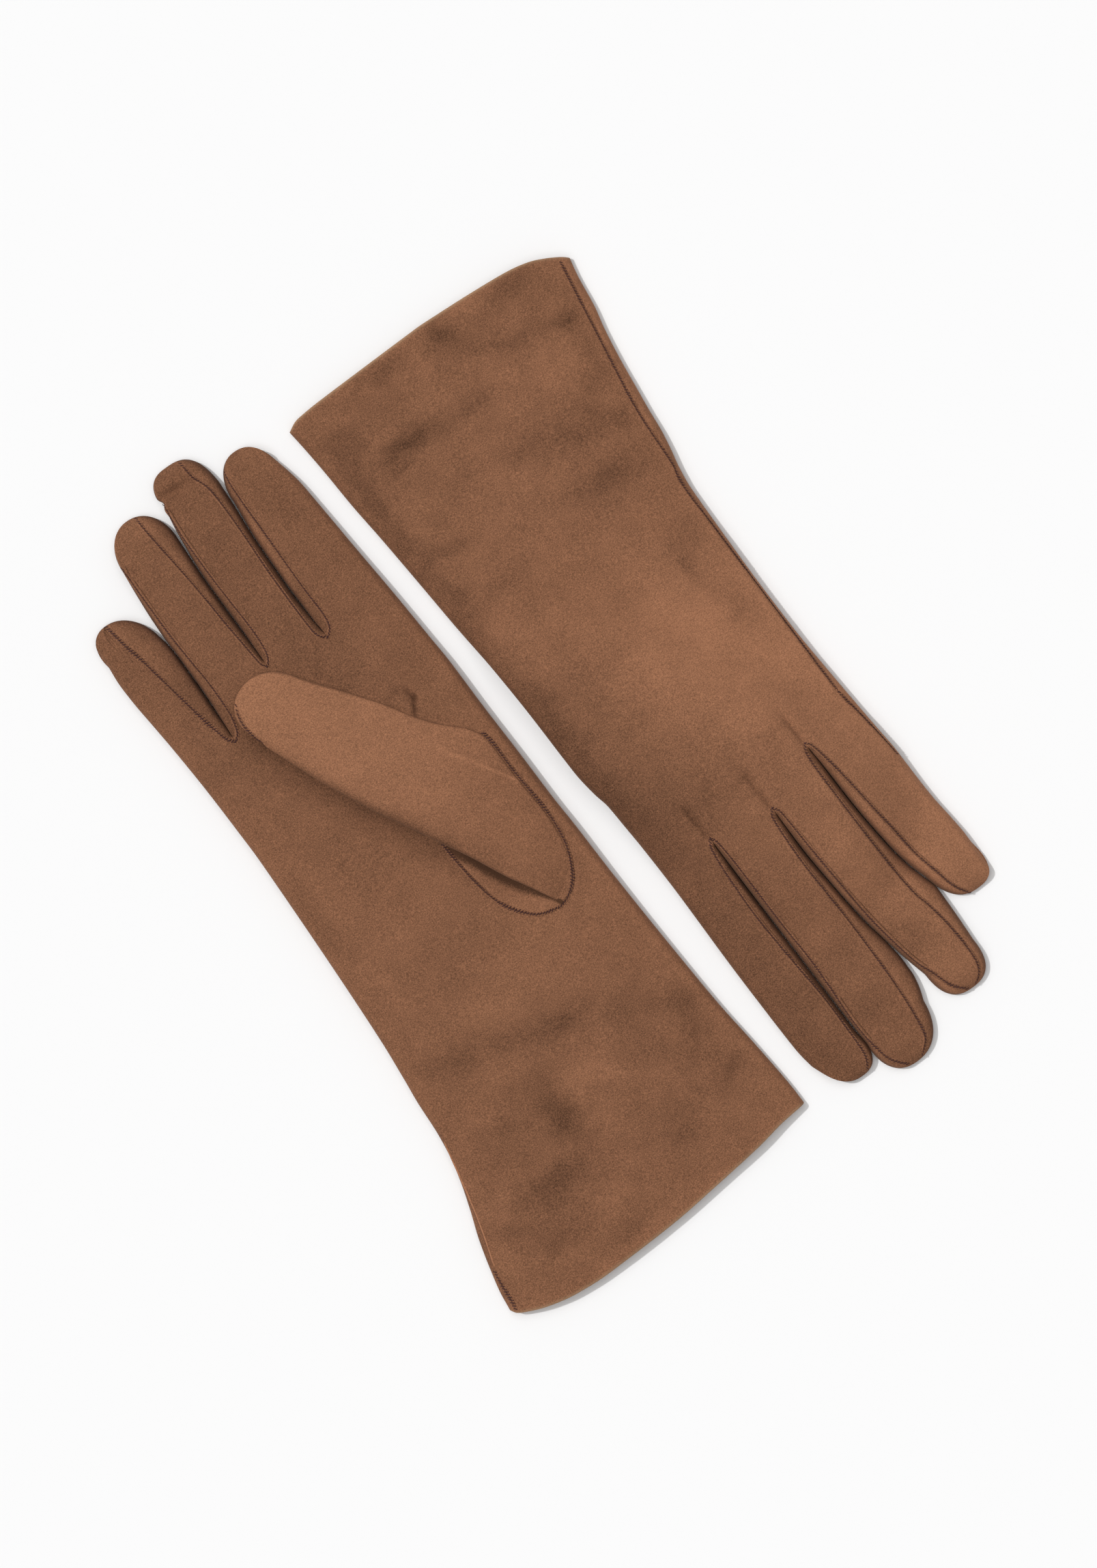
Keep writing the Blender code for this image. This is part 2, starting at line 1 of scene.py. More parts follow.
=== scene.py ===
"""The looks of a pair of suede gloves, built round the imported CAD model.

Every shape is given in its glove's own frame, in millimetres: x across, from the little finger (-) to the
index finger (+); y along, towards the fingertips; z up. Upper and under are a glove's two sides as it lies.
"""

import json
import math

import bpy
import numpy as np
from mathutils import Matrix, Vector
from mathutils.bvhtree import BVHTree


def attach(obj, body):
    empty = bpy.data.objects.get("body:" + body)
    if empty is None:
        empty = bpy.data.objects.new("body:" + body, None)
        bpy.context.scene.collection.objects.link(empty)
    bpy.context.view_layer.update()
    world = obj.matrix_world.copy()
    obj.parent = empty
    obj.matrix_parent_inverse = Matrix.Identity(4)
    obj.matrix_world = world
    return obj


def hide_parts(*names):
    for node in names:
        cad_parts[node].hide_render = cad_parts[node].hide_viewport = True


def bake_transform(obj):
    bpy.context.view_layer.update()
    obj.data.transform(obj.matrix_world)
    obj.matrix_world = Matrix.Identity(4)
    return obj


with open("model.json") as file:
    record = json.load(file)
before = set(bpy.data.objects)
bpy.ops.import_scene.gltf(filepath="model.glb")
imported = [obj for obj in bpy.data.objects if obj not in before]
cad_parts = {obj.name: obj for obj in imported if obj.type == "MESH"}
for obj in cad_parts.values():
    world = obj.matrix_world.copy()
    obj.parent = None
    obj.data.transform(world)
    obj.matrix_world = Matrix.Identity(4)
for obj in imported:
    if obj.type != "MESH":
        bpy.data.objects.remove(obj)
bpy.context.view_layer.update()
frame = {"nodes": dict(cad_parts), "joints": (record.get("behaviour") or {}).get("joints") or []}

MM = 0.001
JOINTS = {joint["name"]: joint for joint in frame["joints"]}

# ---------------------------------------------------------------- driving sizes, in millimetres
# Where a mesh's columns are: in from a folded edge, in from a seam, and as shares of the way from an
# outline to a seam.
NEAR_EDGE = np.array([0, 0.12, 0.35, 0.75, 1.3, 2.0, 2.9, 4.0, 5.2])
NEAR_SEAM = (0.3, 0.7, 1.2, 2.0, 2.9)
FAN = (0, 0.04, 0.1, 0.18, 0.28, 0.4, 0.55, 0.7, 0.86, 1.0)
HAND_COLUMNS = (124, 56)  # of the upper and the under side
HAND_ROWS = 240
FINGER_COLUMNS = (30, 12)
FINGER_STEP = 0.7  # between a finger's rows
TIP_ROWS = 26
NEARLY = 0.9985  # how far the last row goes into a tip
STAND_OFF = 0.55  # from what a glove lies on up to its leather, held off by the ridges of its seams
EDGE_HALF = 0.16  # half the height of the smallest edge between the upper and under side
# How the upper side rises from its edge: shares of the rise, and the distance in that each takes.
UPPER_ROUND = ((0.56, 2.4), (0.44, 24.0))
UNDER_ROUND = 4.2
CROWN = 0.55  # how much higher the middle of a finger is
# Unevenness, as layers of noise: the size of the features, and their height.
BROAD, FINE, THUMB_ROUGH = ((46, 0.6), (24, 0.3)), ((9, 0.10), (4.5, 0.05)), ((17, 0.22), (7, 0.10))
RAGGED_X, RAGGED_Y = ((13, 2.6), (4.2, 2.4)), ((11, 2.2), (3.8, 2.0))  # of the sides of patches of nap
# The cuff's mouth, from its edge inwards: how far up the cuff, and how far in from its outside.
MOUTH = ((-0.25, 0.45), (0.4, 1.3), (3, 1.5), (12, 1.5), (12.6, 0.9), (25, 0.9), (40, 0.9), (60, 0.9))
# A seam's lips in cross-section: how far across, how high, and how dark, the groove between them darkened as
# the seam's line and as painted shade.
LIP = (
    (-1.0, -0.6, 0), (-0.75, 0.0, 0), (-0.52, 0.20, 0), (-0.32, 0.20, 0.15), (-0.15, 0.08, 0.8),
    (0, -0.04, 1), (0.15, 0.08, 0.8), (0.32, 0.20, 0.15), (0.52, 0.20, 0), (0.75, 0.0, 0),
    (1.0, -0.6, 0), (0, -1.0, 0),
)
SLIT_LIP = 1.1  # from the end of a slit's seam to where the leather goes down into the slit
SLIT_HALF = 0.08  # half the opening between two fingers
UNDER_SEAM = 2.7  # from a finger's outline to the seam on its under side
SEAM_STEP = 0.55  # between the points of a seam's lips
RAY_START = 0.08  # in metres, beyond a glove's upper or under side
STITCH_PITCH = 1.1
STITCH_SPAN = 0.42  # half its length across the seam
STITCH_ARCH = ((-1.0, 0.02), (-0.6, 0.24), (0.0, 0.28), (0.6, 0.24), (1.0, 0.02))  # across, and how high
THREAD_RADIUS = 0.16
BOLD = 1.35  # size of the bolder stitches

THUMB_ROOT = (25.5, 21.0)
THUMB_TILT = math.radians(24.8)
THUMB_LIFT = 8.0  # of the palm that lies on a folded thumb
THUMB_LIFT_RADIUS, THUMB_LIFT_FALL = 19, 24
THUMB_ROWS = 130
THUMB_ANGLES = (46, 28)  # columns above and below
THUMB_FAR_ROLL = 0.9
THUMB_TIP_ACROSS = -10.0
THUMB_PRESSED = 0.86  # share of the thumb's height that is left under a glove
DENT_DEPTH = 2.8  # of the palm beside the thumb
DENT_BESIDE, DENT_UNDER = 11.5, 14  # how far it reaches, beside the thumb and under it
HOLE_DEPTH = 1.1  # of the palm inside the thumb's hole
UNDER_DENT = 0.5  # share of these depths on a palm that lies down

RIGHT = dict(
    name="right", palm_up=True, bend_at=(0.0, -48.0), thumb_drop=0.0, split=52.0, seed=11,
    little_side=[
        (-146, -66.4), (-136, -64), (-130, -63.4), (-120, -61.4), (-110, -58.9), (-100, -55.6),
        (-90, -52.7), (-80, -50.6), (-70, -49.6), (-60, -49.3), (-50, -48.5), (-35, -47.5), (-10, -46.8),
        (20, -46.4), (40, -46.3), (55, -46.8), (70, -47.5), (90, -49), (100, -50), (110, -51),
        (118, -51.4), (125, -51),
    ],
    index_side=[
        (-146, 60.6), (-130, 60), (-110, 58), (-90, 55.5), (-70, 53.8), (-50, 52.3), (-30, 51),
        (-10, 50), (0, 49.3), (20, 48.5), (40, 47.5), (60, 46.8), (70, 46), (90, 44.4), (110, 42.5),
        (130, 40.7), (140, 39.7), (147, 38.2), (152, 36.8),
    ],
    hem=[
        (-1, -136), (-0.97, -138), (-0.93, -139.2), (-0.78, -142.3), (-0.62, -144.1), (-0.45, -144.7),
        (-0.3, -144.4), (0.03, -143.3), (0.35, -141), (0.67, -138.3), (0.85, -136.2), (1, -135.2),
    ],
    gaps=[
        dict(valley=[(52, -29.8), (79, -29.5), (90, -29.3), (100, -29.1), (115, -29.3)],
             under_slit=59,
             left=[
                 (-43.7, 136.8), (-42, 128), (-40, 120), (-38, 110), (-36, 100), (-34, 90),
                 (-32.8, 85.5), (-31.4, 80.8),
             ],
             end=(-29.5, 79),
             right=[
                 (-27.4, 80.6), (-26.1, 84.5), (-25.5, 89), (-25.5, 100), (-26.3, 110), (-27, 120),
                 (-27.3, 130), (-27.6, 150),
             ]),
        dict(valley=[(52, -5.6), (94, -5.8), (105, -5.9), (130, -6.4), (149, -5.7)],
             under_slit=70,
             left=[
                 (-14, 161.6), (-13.5, 156), (-12.8, 150), (-11, 135), (-10, 125), (-9.2, 115),
                 (-8.2, 105), (-7.6, 99), (-7.1, 95.6),
             ],
             end=(-5.9, 94),
             right=[
                 (-4.3, 95.2), (-3.1, 99), (-2.8, 107), (-3.5, 120), (-4.0, 130), (-4.2, 147),
                 (-3.3, 160),
             ]),
        dict(valley=[(52, 17.2), (90, 17), (98, 16.3), (115, 15.6), (130, 15.7), (147, 16.6)],
             under_slit=66,
             left=[
                 (9.4, 168.6), (10.3, 162), (12, 158), (13, 153), (13.4, 140), (13.2, 120), (13.5, 105),
                 (13.9, 97), (14.2, 94), (15.2, 91.7),
             ],
             end=(17, 90.4),
             right=[
                 (18.9, 91.5), (20.1, 94.3), (20.4, 99), (19.9, 110), (19.7, 130), (19.5, 150),
                 (20.3, 157.5),
             ]),
    ],
    fingers=dict(
        little=dict(cap=125, tip=(-43.6, 137.4), blunt=2.1, left=None,
                    right=[(115, -29.3), (120, -29.7), (125, -30.7)]),
        ring=dict(cap=149, tip=(-17, 162.9), blunt=2.1, right=[(149, -5.9)],
                  left=[(115, -29.3), (123, -29.6), (130, -29.5), (140, -29), (149, -28.3)]),
        middle=dict(cap=156, tip=(5, 170.4), blunt=2.8, nick=(160.6, 1.3, 1.5),
                    left=[(149, -5.2), (156, -4.3)], right=[(147, 16.6), (156, 16.9)]),
        index=dict(cap=147, tip=(27, 161.4), blunt=2.2, left=[(147, 16.9)], right=None),
    ),
)
LEFT = dict(
    name="left", palm_up=False, bend_at=(0.0, -50.0), thumb_drop=-5.5, split=47.0, seed=23,
    little_side=[
        (-143, -62.6), (-128.5, -58.9), (-122, -57.5), (-110, -55.8), (-102, -54), (-90, -52),
        (-78, -50.5), (-70, -49.5), (-62, -48.7), (-55, -47.5), (-48, -46), (-40, -45), (-20, -44.5),
        (0, -44.2), (20, -44.4), (40, -45.4), (50, -46), (65, -47), (75, -47.7), (85, -47.8),
        (95, -48.1), (105, -49), (113, -49.5), (119, -49.4),
    ],
    index_side=[
        (-143, 55.2), (-130, 53.9), (-120, 53.2), (-105, 52.5), (-90, 51.3), (-70, 50), (-50, 48.8),
        (-30, 47.3), (-10, 46.5), (15, 46.1), (25, 45), (31, 43.8), (40, 43.3), (50, 42.8), (70, 42.4),
        (100, 42.6), (120, 42.4), (137, 42), (145, 41), (150, 39.8),
    ],
    hem=[
        (-1, -128.5), (-0.95, -130.4), (-0.84, -133.6), (-0.76, -135.4), (-0.63, -137.1),
        (-0.45, -138.3), (-0.12, -139.8), (0.04, -140.3), (0.74, -140.2), (0.92, -139.7), (1, -138),
    ],
    gaps=[
        dict(valley=[
            (47, -23.3), (54, -23.3), (62, -23.7), (80, -24.1), (100, -25.7), (110, -27.6), (116, -29.3),
        ],
             under_slit=74,
             left=[
                 (-38.5, 129.3), (-35.5, 124), (-33.5, 116), (-31.5, 107), (-30, 94), (-29, 86),
                 (-27.5, 72), (-25.9, 61), (-24.7, 55.6),
             ],
             end=(-23.3, 54),
             right=[
                 (-21.9, 56), (-21.3, 61), (-21.2, 70), (-21.4, 90), (-22, 106), (-23, 118),
                 (-24.4, 124), (-25.8, 133), (-26.4, 143), (-26, 150), (-24, 154), (-21.5, 155.6),
             ]),
        dict(valley=[(47, -1), (65, -1), (80, -0.9), (100, -2), (115, -3.6), (127, -5.6), (134, -6.7)],
             under_slit=89,
             left=[
                 (-18, 155.3), (-14.3, 151), (-11.8, 144), (-9.3, 137), (-7.3, 127), (-5.6, 115),
                 (-4.4, 100), (-3.4, 84), (-2.9, 72), (-2.4, 67),
             ],
             end=(-1, 65.2),
             right=[
                 (0.6, 67), (1.3, 72.5), (1.8, 86), (1.3, 100), (0.9, 110), (0.8, 122), (1, 138),
                 (2, 152), (3.6, 160), (8, 164.4),
             ]),
        dict(valley=[(47, 22.3), (61, 22.3), (80, 22.2), (100, 21.9), (125, 21.7), (145, 21.4)],
             under_slit=86,
             left=[
                 (14, 163.9), (18, 158.5), (19.7, 150), (20.2, 140), (19.6, 125), (19.4, 115),
                 (19.9, 100), (20.2, 80), (20.5, 69), (21.1, 62.6),
             ],
             end=(22.3, 61),
             right=[
                 (23.7, 62.8), (24.6, 68.5), (25.2, 78), (25.5, 93), (24.5, 113), (23.6, 127),
                 (23.5, 140), (23.8, 152), (26, 156.8),
             ]),
    ],
    fingers=dict(
        little=dict(cap=116, tip=(-42, 130.0), blunt=2.5, left=None, right=[(116, -29.4)]),
        ring=dict(cap=143, tip=(-20, 156.4), blunt=2.6, right=[(134, -7.0), (143, -9.2)],
                  left=[(116, -29.3), (122, -30.7), (132, -30.5), (143, -30)]),
        middle=dict(cap=150, tip=(10.5, 165.4), blunt=2.3, right=[(145, 21.4), (150, 21.2)],
                    left=[(134, -6.3), (140, -6.2), (145, -5.3), (150, -3.6)]),
        index=dict(cap=145, tip=(28.5, 158.1), blunt=2.4, left=[(145, 21.5)], right=None),
    ),
)
ORDER = ("little", "ring", "middle", "index")
RIGHT.update(
    # Grooves, or ridges where the depth is negative: from, to, width and depth.
    dents=[
        ((-5, 162.6), (3, 161.4), 1.9, 1.2), ((3, 161.4), (9, 161), 2.2, 1.0),
        ((-2, 167), (9, 167), 2.6, -0.8), ((29.2, 59.5), (29.8, 56), 0.8, 1.1),
        ((29.8, 56), (27, 51), 0.85, 1.3), ((25.4, 57), (26.2, 54), 2.6, -1.4),
        ((23, 61), (27, 61.5), 0.9, 0.5), ((30, -70), (-35, -60), 5.0, 0.25),
        ((-30, -60), (-5, -75), 4.0, 0.25), ((41, 44), (46, 10), 2.0, -0.25),
    ],
    # Places with fine wrinkles: x and y, how far across and along, and how high.
    wrinkled=[(27, 56, 7, 7, 0.25), (-6, 88, 10, 6, 0.12), (17, 86, 8, 6, 0.12), (0, -70, 50, 16, 0.06)],
    # Patches where the nap lies darker (-) or lighter: x and y, size, turn and amount.
    nap=[
        (-57.2, -99, 2.2, 22, -13, -1.0), (-60, -66, 6, 14, -6, -0.2), (6, -44, 52, 12, 0, 0.22),
        (30, 4, 22, 16, 0, 0.15), (-42, 6, 5, 30, 0, -0.3), (28, 112, 22, 26, 0, 0.15),
        (-34, -53, 10, 5, -10, -0.4), (-5, -61, 22, 5, -13, -0.45), (38, -77, 12, 4, -22, -0.3),
        (8, -66, 5, 3, 30, -0.3), (-30, -83, 9, 5, -20, -0.35), (-10, -92, 6, 13, 12, -0.75),
        (-26, -109, 13, 6, 15, -0.65), (-46, -115, 7, 3, -25, -0.4), (6, -88, 12, 9, 0, 0.3),
        (46, -86, 5, 7, 0, -0.5), (40, -97, 7, 4, 30, -0.4), (46, -111, 5, 4, 0, -0.75),
        (-37, -125, 9, 4, -20, -0.35), (-15, -137, 9, 3, 0, -0.35), (22, -118, 9, 5, 40, -0.35),
        (0, -122, 12, 6, 0, 0.1), (-25, -64, 8, 5, 0, 0.15), (-12, -12, 26, 26, 0, 0.15),
        (15, 62, 16, 20, 0, -0.2), (4, 118, 14, 40, 0, -0.25), (-24, 40, 12, 30, 25, -0.25),
        (28, 80, 14, 10, 0, 0.15), (34, -30, 12, 24, 0, 0.1),
    ],
    # The seams with bold stitches, and the size of the stitches in the others.
    bold=("hand", "little", "thumb"), plain_stitch=0.85,
    # How much lighter the nap is at the little finger's edge and the index finger's, as a slope; and how much
    # painted light lies along the folded edge that faces away from the light.
    slope=(0.1, 0.0), worn=(0.0, 1.3),
    # How much of the usual height the two folded edges have, and how dark the painted shade in the slits is.
    fold_sides=(1.0, 0.9), slit_dark=0.8,
)
LEFT.update(
    dents=[
        ((-23.3, 52), (-23.0, 43), 1.1, 0.8), ((-1, 63), (-0.6, 52), 1.1, 0.75),
        ((22.4, 59), (23.0, 48), 1.1, 0.85), ((-27, 54), (-26, 38), 2.4, -0.5),
        ((2.6, 62), (3, 46), 2.4, -0.45), ((26, 58), (27, 44), 2.4, -0.45),
        ((-19.5, 54), (-19, 38), 2.2, -0.3), ((-4.5, 62), (-5, 48), 2.2, -0.3),
        ((18.5, 58), (18, 46), 2.2, -0.3), ((26, 150), (37, 150.5), 3.0, 0.45),
        ((4, 153), (18, 153.5), 3.2, 0.4), ((-20, -60), (20, -85), 5.0, 0.3),
        ((42, 26), (30, 31), 2.5, 0.45),
    ],
    wrinkled=[
        (8, 53, 22, 8, 0.42), (-20, 50, 10, 7, 0.32), (22, 75, 4, 12, 0.4), (-2, 76, 4, 10, 0.3),
        (0, -70, 50, 20, 0.06), (40, 28, 8, 8, 0.25),
    ],
    nap=[
        (-52.9, -98, 2.0, 36, -9, 0.5), (0, -70, 40, 30, 0, 0.15), (-14, 100, 7, 14, 0, 0.35),
        (-36, 70, 6, 50, 0, 0.15), (12, -14, 26, 30, 0, 0.3), (-14, 127, 10, 8, 0, -0.45),
        (33, 10, 5, 50, 0, 0.3), (-2, 102, 9, 8, 0, 0.3), (-34, 4, 4, 9, 5, -0.45),
        (-28, -20, 4, 9, 8, -0.55), (-34, -31, 7, 8, 0, -0.4), (-22, -60, 18, 6, -8, -0.75),
        (-38, -72, 6, 4, 0, -0.5), (-24, -79, 13, 5, -10, -0.6), (-4, -86, 10, 5, -15, -0.4),
        (30, -52, 10, 3, 5, -0.4), (36, -72, 10, 2.5, -5, -0.45), (45, -50, 4, 22, 0, -0.6),
        (47, -100, 4, 30, 0, -0.6), (-44, -112, 6, 3, -10, -0.75), (-24, -118, 9, 3, -15, -0.6),
        (0, -108, 11, 3, 10, -0.55), (26, -110, 11, 4, 8, -1.0), (-6, -134, 6, 5, 0, -0.95),
        (16, -136, 9, 4, 0, -0.75), (40, -121, 6, 8, 0, -0.55), (-14, -126, 10, 5, 20, -0.3),
        (-35, -132, 9, 4, 10, -0.35), (-30, -100, 9, 7, 0, 0.35), (5, -120, 12, 6, 0, 0.1),
        (-8, 0, 24, 30, 0, 0.45), (36, 36, 9, 20, 10, -0.55), (10, 50, 20, 9, 0, -0.3),
        (-24, 24, 14, 20, 0, 0.25), (0, -60, 20, 12, 0, 0.15), (42, 0, 5, 26, 0, -0.35),
        (6, 118, 9, 8, 0, -0.3), (12, 140, 8, 6, 0, -0.25), (-16, 122, 6, 6, 0, 0.2),
        (36, 120, 7, 40, 0, -0.2),
    ],
    bold=(), plain_stitch=1.0,
    slope=(1.0, -0.8), worn=(1.3, 0.0),
    fold_sides=(0.5, 0.95), slit_dark=0.62,
)

# The side seams, as x and y, on the side of the glove that each is seen on.
LEFT_SIDE_SEAM = [
    (-55.3, -129), (-53.2, -117), (-52, -110), (-50, -98), (-48, -86), (-46.5, -77), (-45.5, -68),
    (-45, -58), (-44.5, -50), (-43.4, -45), (-42.9, -38), (-43, -25), (-43.1, 0), (-43.3, 40),
    (-43.8, 50), (-44.7, 56), (-46, 67), (-46.9, 76),
]
RIGHT_SIDE_SEAM_TOP = [(-62.0, -136.6), (-61.6, -134), (-61.2, -128), (-60.6, -122)]
RIGHT_SIDE_SEAM_UNDER = [
    (-59.2, -119), (-56, -110), (-52.5, -100), (-49.5, -88), (-47.8, -76), (-46.6, -62), (-45.5, -45),
    (-44.5, -20), (-44, 10), (-44.2, 40), (-45, 60), (-46.5, 76),
]
# Where the right cuff's upper leather ends in a raw edge, short of the fold, and that edge in
# cross-section.
RIGHT_RAW_EDGE = [
    (-49.3, -75), (-50.6, -82), (-52.3, -91), (-54.4, -101), (-56.7, -110), (-58.6, -116.5),
    (-59.8, -120.5),
]
RAW_EDGE = ((-0.75, -0.4, 0.9), (-0.55, 0.06, 0.9), (-0.12, 0.1, 0.5), (0.02, 0.34, 0.0), (0.22, 0.4, 0.0),
            (0.45, 0.2, 0.0), (0.6, -0.3, 0.0), (0.0, -0.5, 0.0))

# The thumb of the glove that lies palm up: its fold, and its other side down to the seam, as x and y.
THUMB_FOLD = [
    (30, -28.8), (25, -20), (20, -11.5), (15, -1.5), (8.5, 10), (4, 18), (0, 25), (-4, 32), (-8, 40),
    (-12, 48), (-16, 57), (-20, 67), (-22, 74),
]
THUMB_FAR = [
    (31, -31.3), (34, -30.2), (38, -27), (41, -22.3), (43.5, -16), (44.6, -9), (44.8, -3), (44.4, 4),
    (43.7, 12), (43.2, 20), (43, 27), (42.2, 32.5), (40, 36), (35, 40.5), (30, 45.5), (26.5, 50),
    (20, 60), (15, 66.5), (10, 73), (5, 79), (0.5, 85),
]
THUMB_TIP = 83.2
# A fine ridge, pinched up where the thumb is folded over, and painted lighter along it as a highlight.
THUMB_PINCH = ((27, 36.5), (43.0, 12), 0.45, -1.0)
THUMB_CAP = 68.0
# The near part of the thumb's base: its seam in the palm, from the bottom of the hole up.
BASE_SEAM = [
    (30, -31.6), (23, -29.8), (19, -26.7), (15, -21.5), (12.5, -16), (11, -10), (10, -4), (9.2, 3),
    (8.8, 10),
]
THUMB_START = -47.6
BASE_COLUMNS = 36
BASE_THICK = 0.7

# ---------------------------------------------------------------- light and camera
WORLD = 0.26
# Each lamp's strength, height above the table in degrees, and spread in degrees.
LAMPS = (("key", 1.42, 58, 2.5), ("soft", 1.36, 78, 70))
LIGHT_FROM = (-0.96, 0.29)  # right and up in the picture
PICTURE_TURN = math.radians(-34.83)
PICTURE_CENTRE = (50.6, 5.4, 0.0)  # in the right glove's frame
VIEW_HEIGHT = 0.5396  # of what the camera sees, in metres
CAMERA_HEIGHT = 2.4
FOCUS_HEIGHT = 0.008  # of the plane that the framing is measured in
SENSOR = 24.0
FLOOR_SIZE = 6.0
FLOOR = 0.912  # how light it is

# ---------------------------------------------------------------- colours, as linear light
NAP = 1.75  # how strongly the patches of nap differ
SUEDE = (0.206, 0.0935, 0.0495)
# Shares of that colour, from the darkest level of the nap to the lightest.
SUEDE_RAMP = ((0.0, 0.36), (0.25, 0.66), (0.50, 1.0), (0.75, 1.42), (1.0, 1.9))
# Its speckles, from fine to broad: how strong, how many to a metre, detail, roughness and distortion.
SUEDE_GRAIN = (
    (1.36, 2300, 2.0, 0.6, 0.0), (0.36, 1050, 2.0, 0.6, 0.6),
    (0.26, 90, 4.0, 0.6, 0.5), (0.30, 24, 4.0, 0.6, 0.4),
)
# The first darkens the seams' grooves, partly as their line and partly as painted shade, and the raw edge's
# low side, and it is the painted shade in the slits between the fingers; the second is the leather turned
# inside the cuff; the third lightens the hem's edge, as its raw cut edge and as a painted highlight.
SEAM_DARK_AND_SHADE, INSIDE, RAW_AND_LIT_RIM = (0.045, 0.018, 0.013), (0.29, 0.17, 0.10), (0.42, 0.27, 0.16)
THREAD = ((0.3, (0.046, 0.019, 0.018)), (0.7, (0.098, 0.046, 0.043)))
# Tones added to the nap, where 1 is about the lightest and -1 the darkest: painted shade in narrow grooves,
# darker over the fingers of the glove that lies palm up, painted shade in the palm's dent beside and under
# the thumb, and lighter along the hem.
GROOVE_SHADE, FINGERS_TONE, VALLEY_SHADE, HEM_TONE = 0.7, -0.4, -1.1, 0.4
MOTTLE = ((8, 0.30), (16, 0.22))


# ---------------------------------------------------------------- curves and noise
def smooth(t):
    """From 0 to 1 as t does, with level ends."""
    t = np.clip(t, 0, 1)
    return t * t * (3 - 2 * t)


def curve(points):
    """A smooth function through (station, value) points, with no overshoot."""
    station, value = np.array(points, float).T
    step = np.diff(station)
    rise = np.diff(value) / step
    slope = np.concatenate([rise[:1], np.zeros(len(rise) - 1), rise[-1:]])
    for i in range(1, len(rise)):
        if rise[i - 1] * rise[i] > 0:
            w0, w1 = 2 * step[i] + step[i - 1], step[i] + 2 * step[i - 1]
            slope[i] = (w0 + w1) / (w0 / rise[i - 1] + w1 / rise[i])

    def read(at):
        at = np.clip(at, station[0], station[-1])
        i = np.clip(np.searchsorted(station, at) - 1, 0, len(station) - 2)
        t = (at - station[i]) / step[i]
        return (
            (1 + 2 * t) * (1 - t) ** 2 * value[i]
            + t * (1 - t) ** 2 * step[i] * slope[i]
            + t * t * (3 - 2 * t) * value[i + 1]
            + t * t * (t - 1) * step[i] * slope[i + 1]
        )

    return read


# Along a glove: the height of its folded edges as a share of its thickness, and its thickness.
FOLD_SHARE = curve([(-146, 0.24), (-80, 0.24), (-20, 0.34), (170, 0.36)])
THICKNESS = curve([
    (-146, 5.8), (-120, 6.6), (-80, 7.8), (-48, 8.4), (-10, 9.6), (40, 9.6), (80, 9.0), (120, 8.0),
    (150, 6.8), (170, 6.2),
])
# The thumb's heights above the palm, along it: the top and the outermost point, at its fold and at
# its far side.
THUMB_NEAR_TOP = curve([
    (-48, -0.3), (-46, 0.9), (-44, 1.7), (-38, 3.2), (-28, 4.8), (-10, 5.9), (8, 6.2), (35, 6.0),
    (60, 5.4), (84, 4.2),
])
THUMB_NEAR_MIDDLE = curve([
    (-48, -0.9), (-44, 0.2), (-38, 0.9), (-28, 1.7), (-10, 2.2), (35, 2.3), (60, 2.3), (84, 2.3),
])
THUMB_FAR_TOP = curve([
    (-48, -0.5), (-44, 0.1), (-30, 0.7), (-5, 0.9), (8, 1.5), (40, 1.9), (60, 2.4), (84, 3.4),
])
THUMB_FAR_MIDDLE = curve([(-48, -0.9), (-44, -0.4), (-5, -0.1), (10, 0.5), (60, 0.7), (84, 1.5)])
# How far in from the fold its roundness reaches, how deep it is below its outermost point, and its nap.
THUMB_ROLL = curve([(-48, 0.8), (-24, 1.3), (0, 2.6), (20, 4.2), (84, 4.2)])
THUMB_BELOW = curve([(-48, 0.2), (-30, 0.5), (0, 1.0), (40, 1.2), (84, 1.2)])
THUMB_TONE = curve([(-48, 0.2), (-20, 0.4), (10, 0.9), (50, 1.35), (84, 1.5)])


def path(points, step=0.5):
    """A smooth line through points, as evenly spaced points."""
    p = np.array(points, float)
    p = np.vstack([2 * p[0] - p[1], p, 2 * p[-1] - p[-2]])
    dense = []
    for a, b, c, d in zip(p, p[1:], p[2:], p[3:]):
        t = np.linspace(0, 1, 24, endpoint=False)[:, None]
        square, cube = 2 * a - 5 * b + 4 * c - d, 3 * b - a - 3 * c + d
        dense.append(0.5 * (2 * b + (c - a) * t + square * t**2 + cube * t**3))
    dense = np.vstack(dense + [p[-2:-1]])
    return resample(dense, step)


def resample(line, step):
    """A line as evenly spaced points."""
    length = np.concatenate([[0], np.cumsum(np.linalg.norm(np.diff(line, axis=0), axis=1))])
    at = np.linspace(0, length[-1], max(2, int(round(length[-1] / step)) + 1))
    return np.stack([np.interp(at, length, line[:, k]) for k in range(line.shape[1])], axis=1)


def noise(x, y, size, seed):
    """Smooth noise from -1 to 1 with features of about that size."""
    u, v = np.asarray(x) / size + 1000.0, np.asarray(y) / size + 1000.0
    i, j = np.floor(u).astype(int), np.floor(v).astype(int)
    fu, fv = u - i, v - j

    def corner(a, b):
        h = (a * 374761393 + b * 668265263 + seed * 2246822519) & 0xFFFFFFFF
        h = ((h ^ (h >> 13)) * 1274126177) & 0xFFFFFFFF
        angle = ((h ^ (h >> 16)) & 0xFFFF) * (2 * np.pi / 65536)
        return np.cos(angle), np.sin(angle)

    total = 0
    for a, wa in ((0, 1 - smooth(fu)), (1, smooth(fu))):
        for b, wb in ((0, 1 - smooth(fv)), (1, smooth(fv))):
            gx, gy = corner(i + a, j + b)
            total = total + wa * wb * (gx * (fu - a) + gy * (fv - b))
    return total * 1.4


def layered(base, x, y, layers, seed):
    """A base with layers of noise added, each given by the size of its features and its amount."""
    for i, (size, amount) in enumerate(layers):
        base = base + amount * noise(x, y, size, seed + i)
    return base


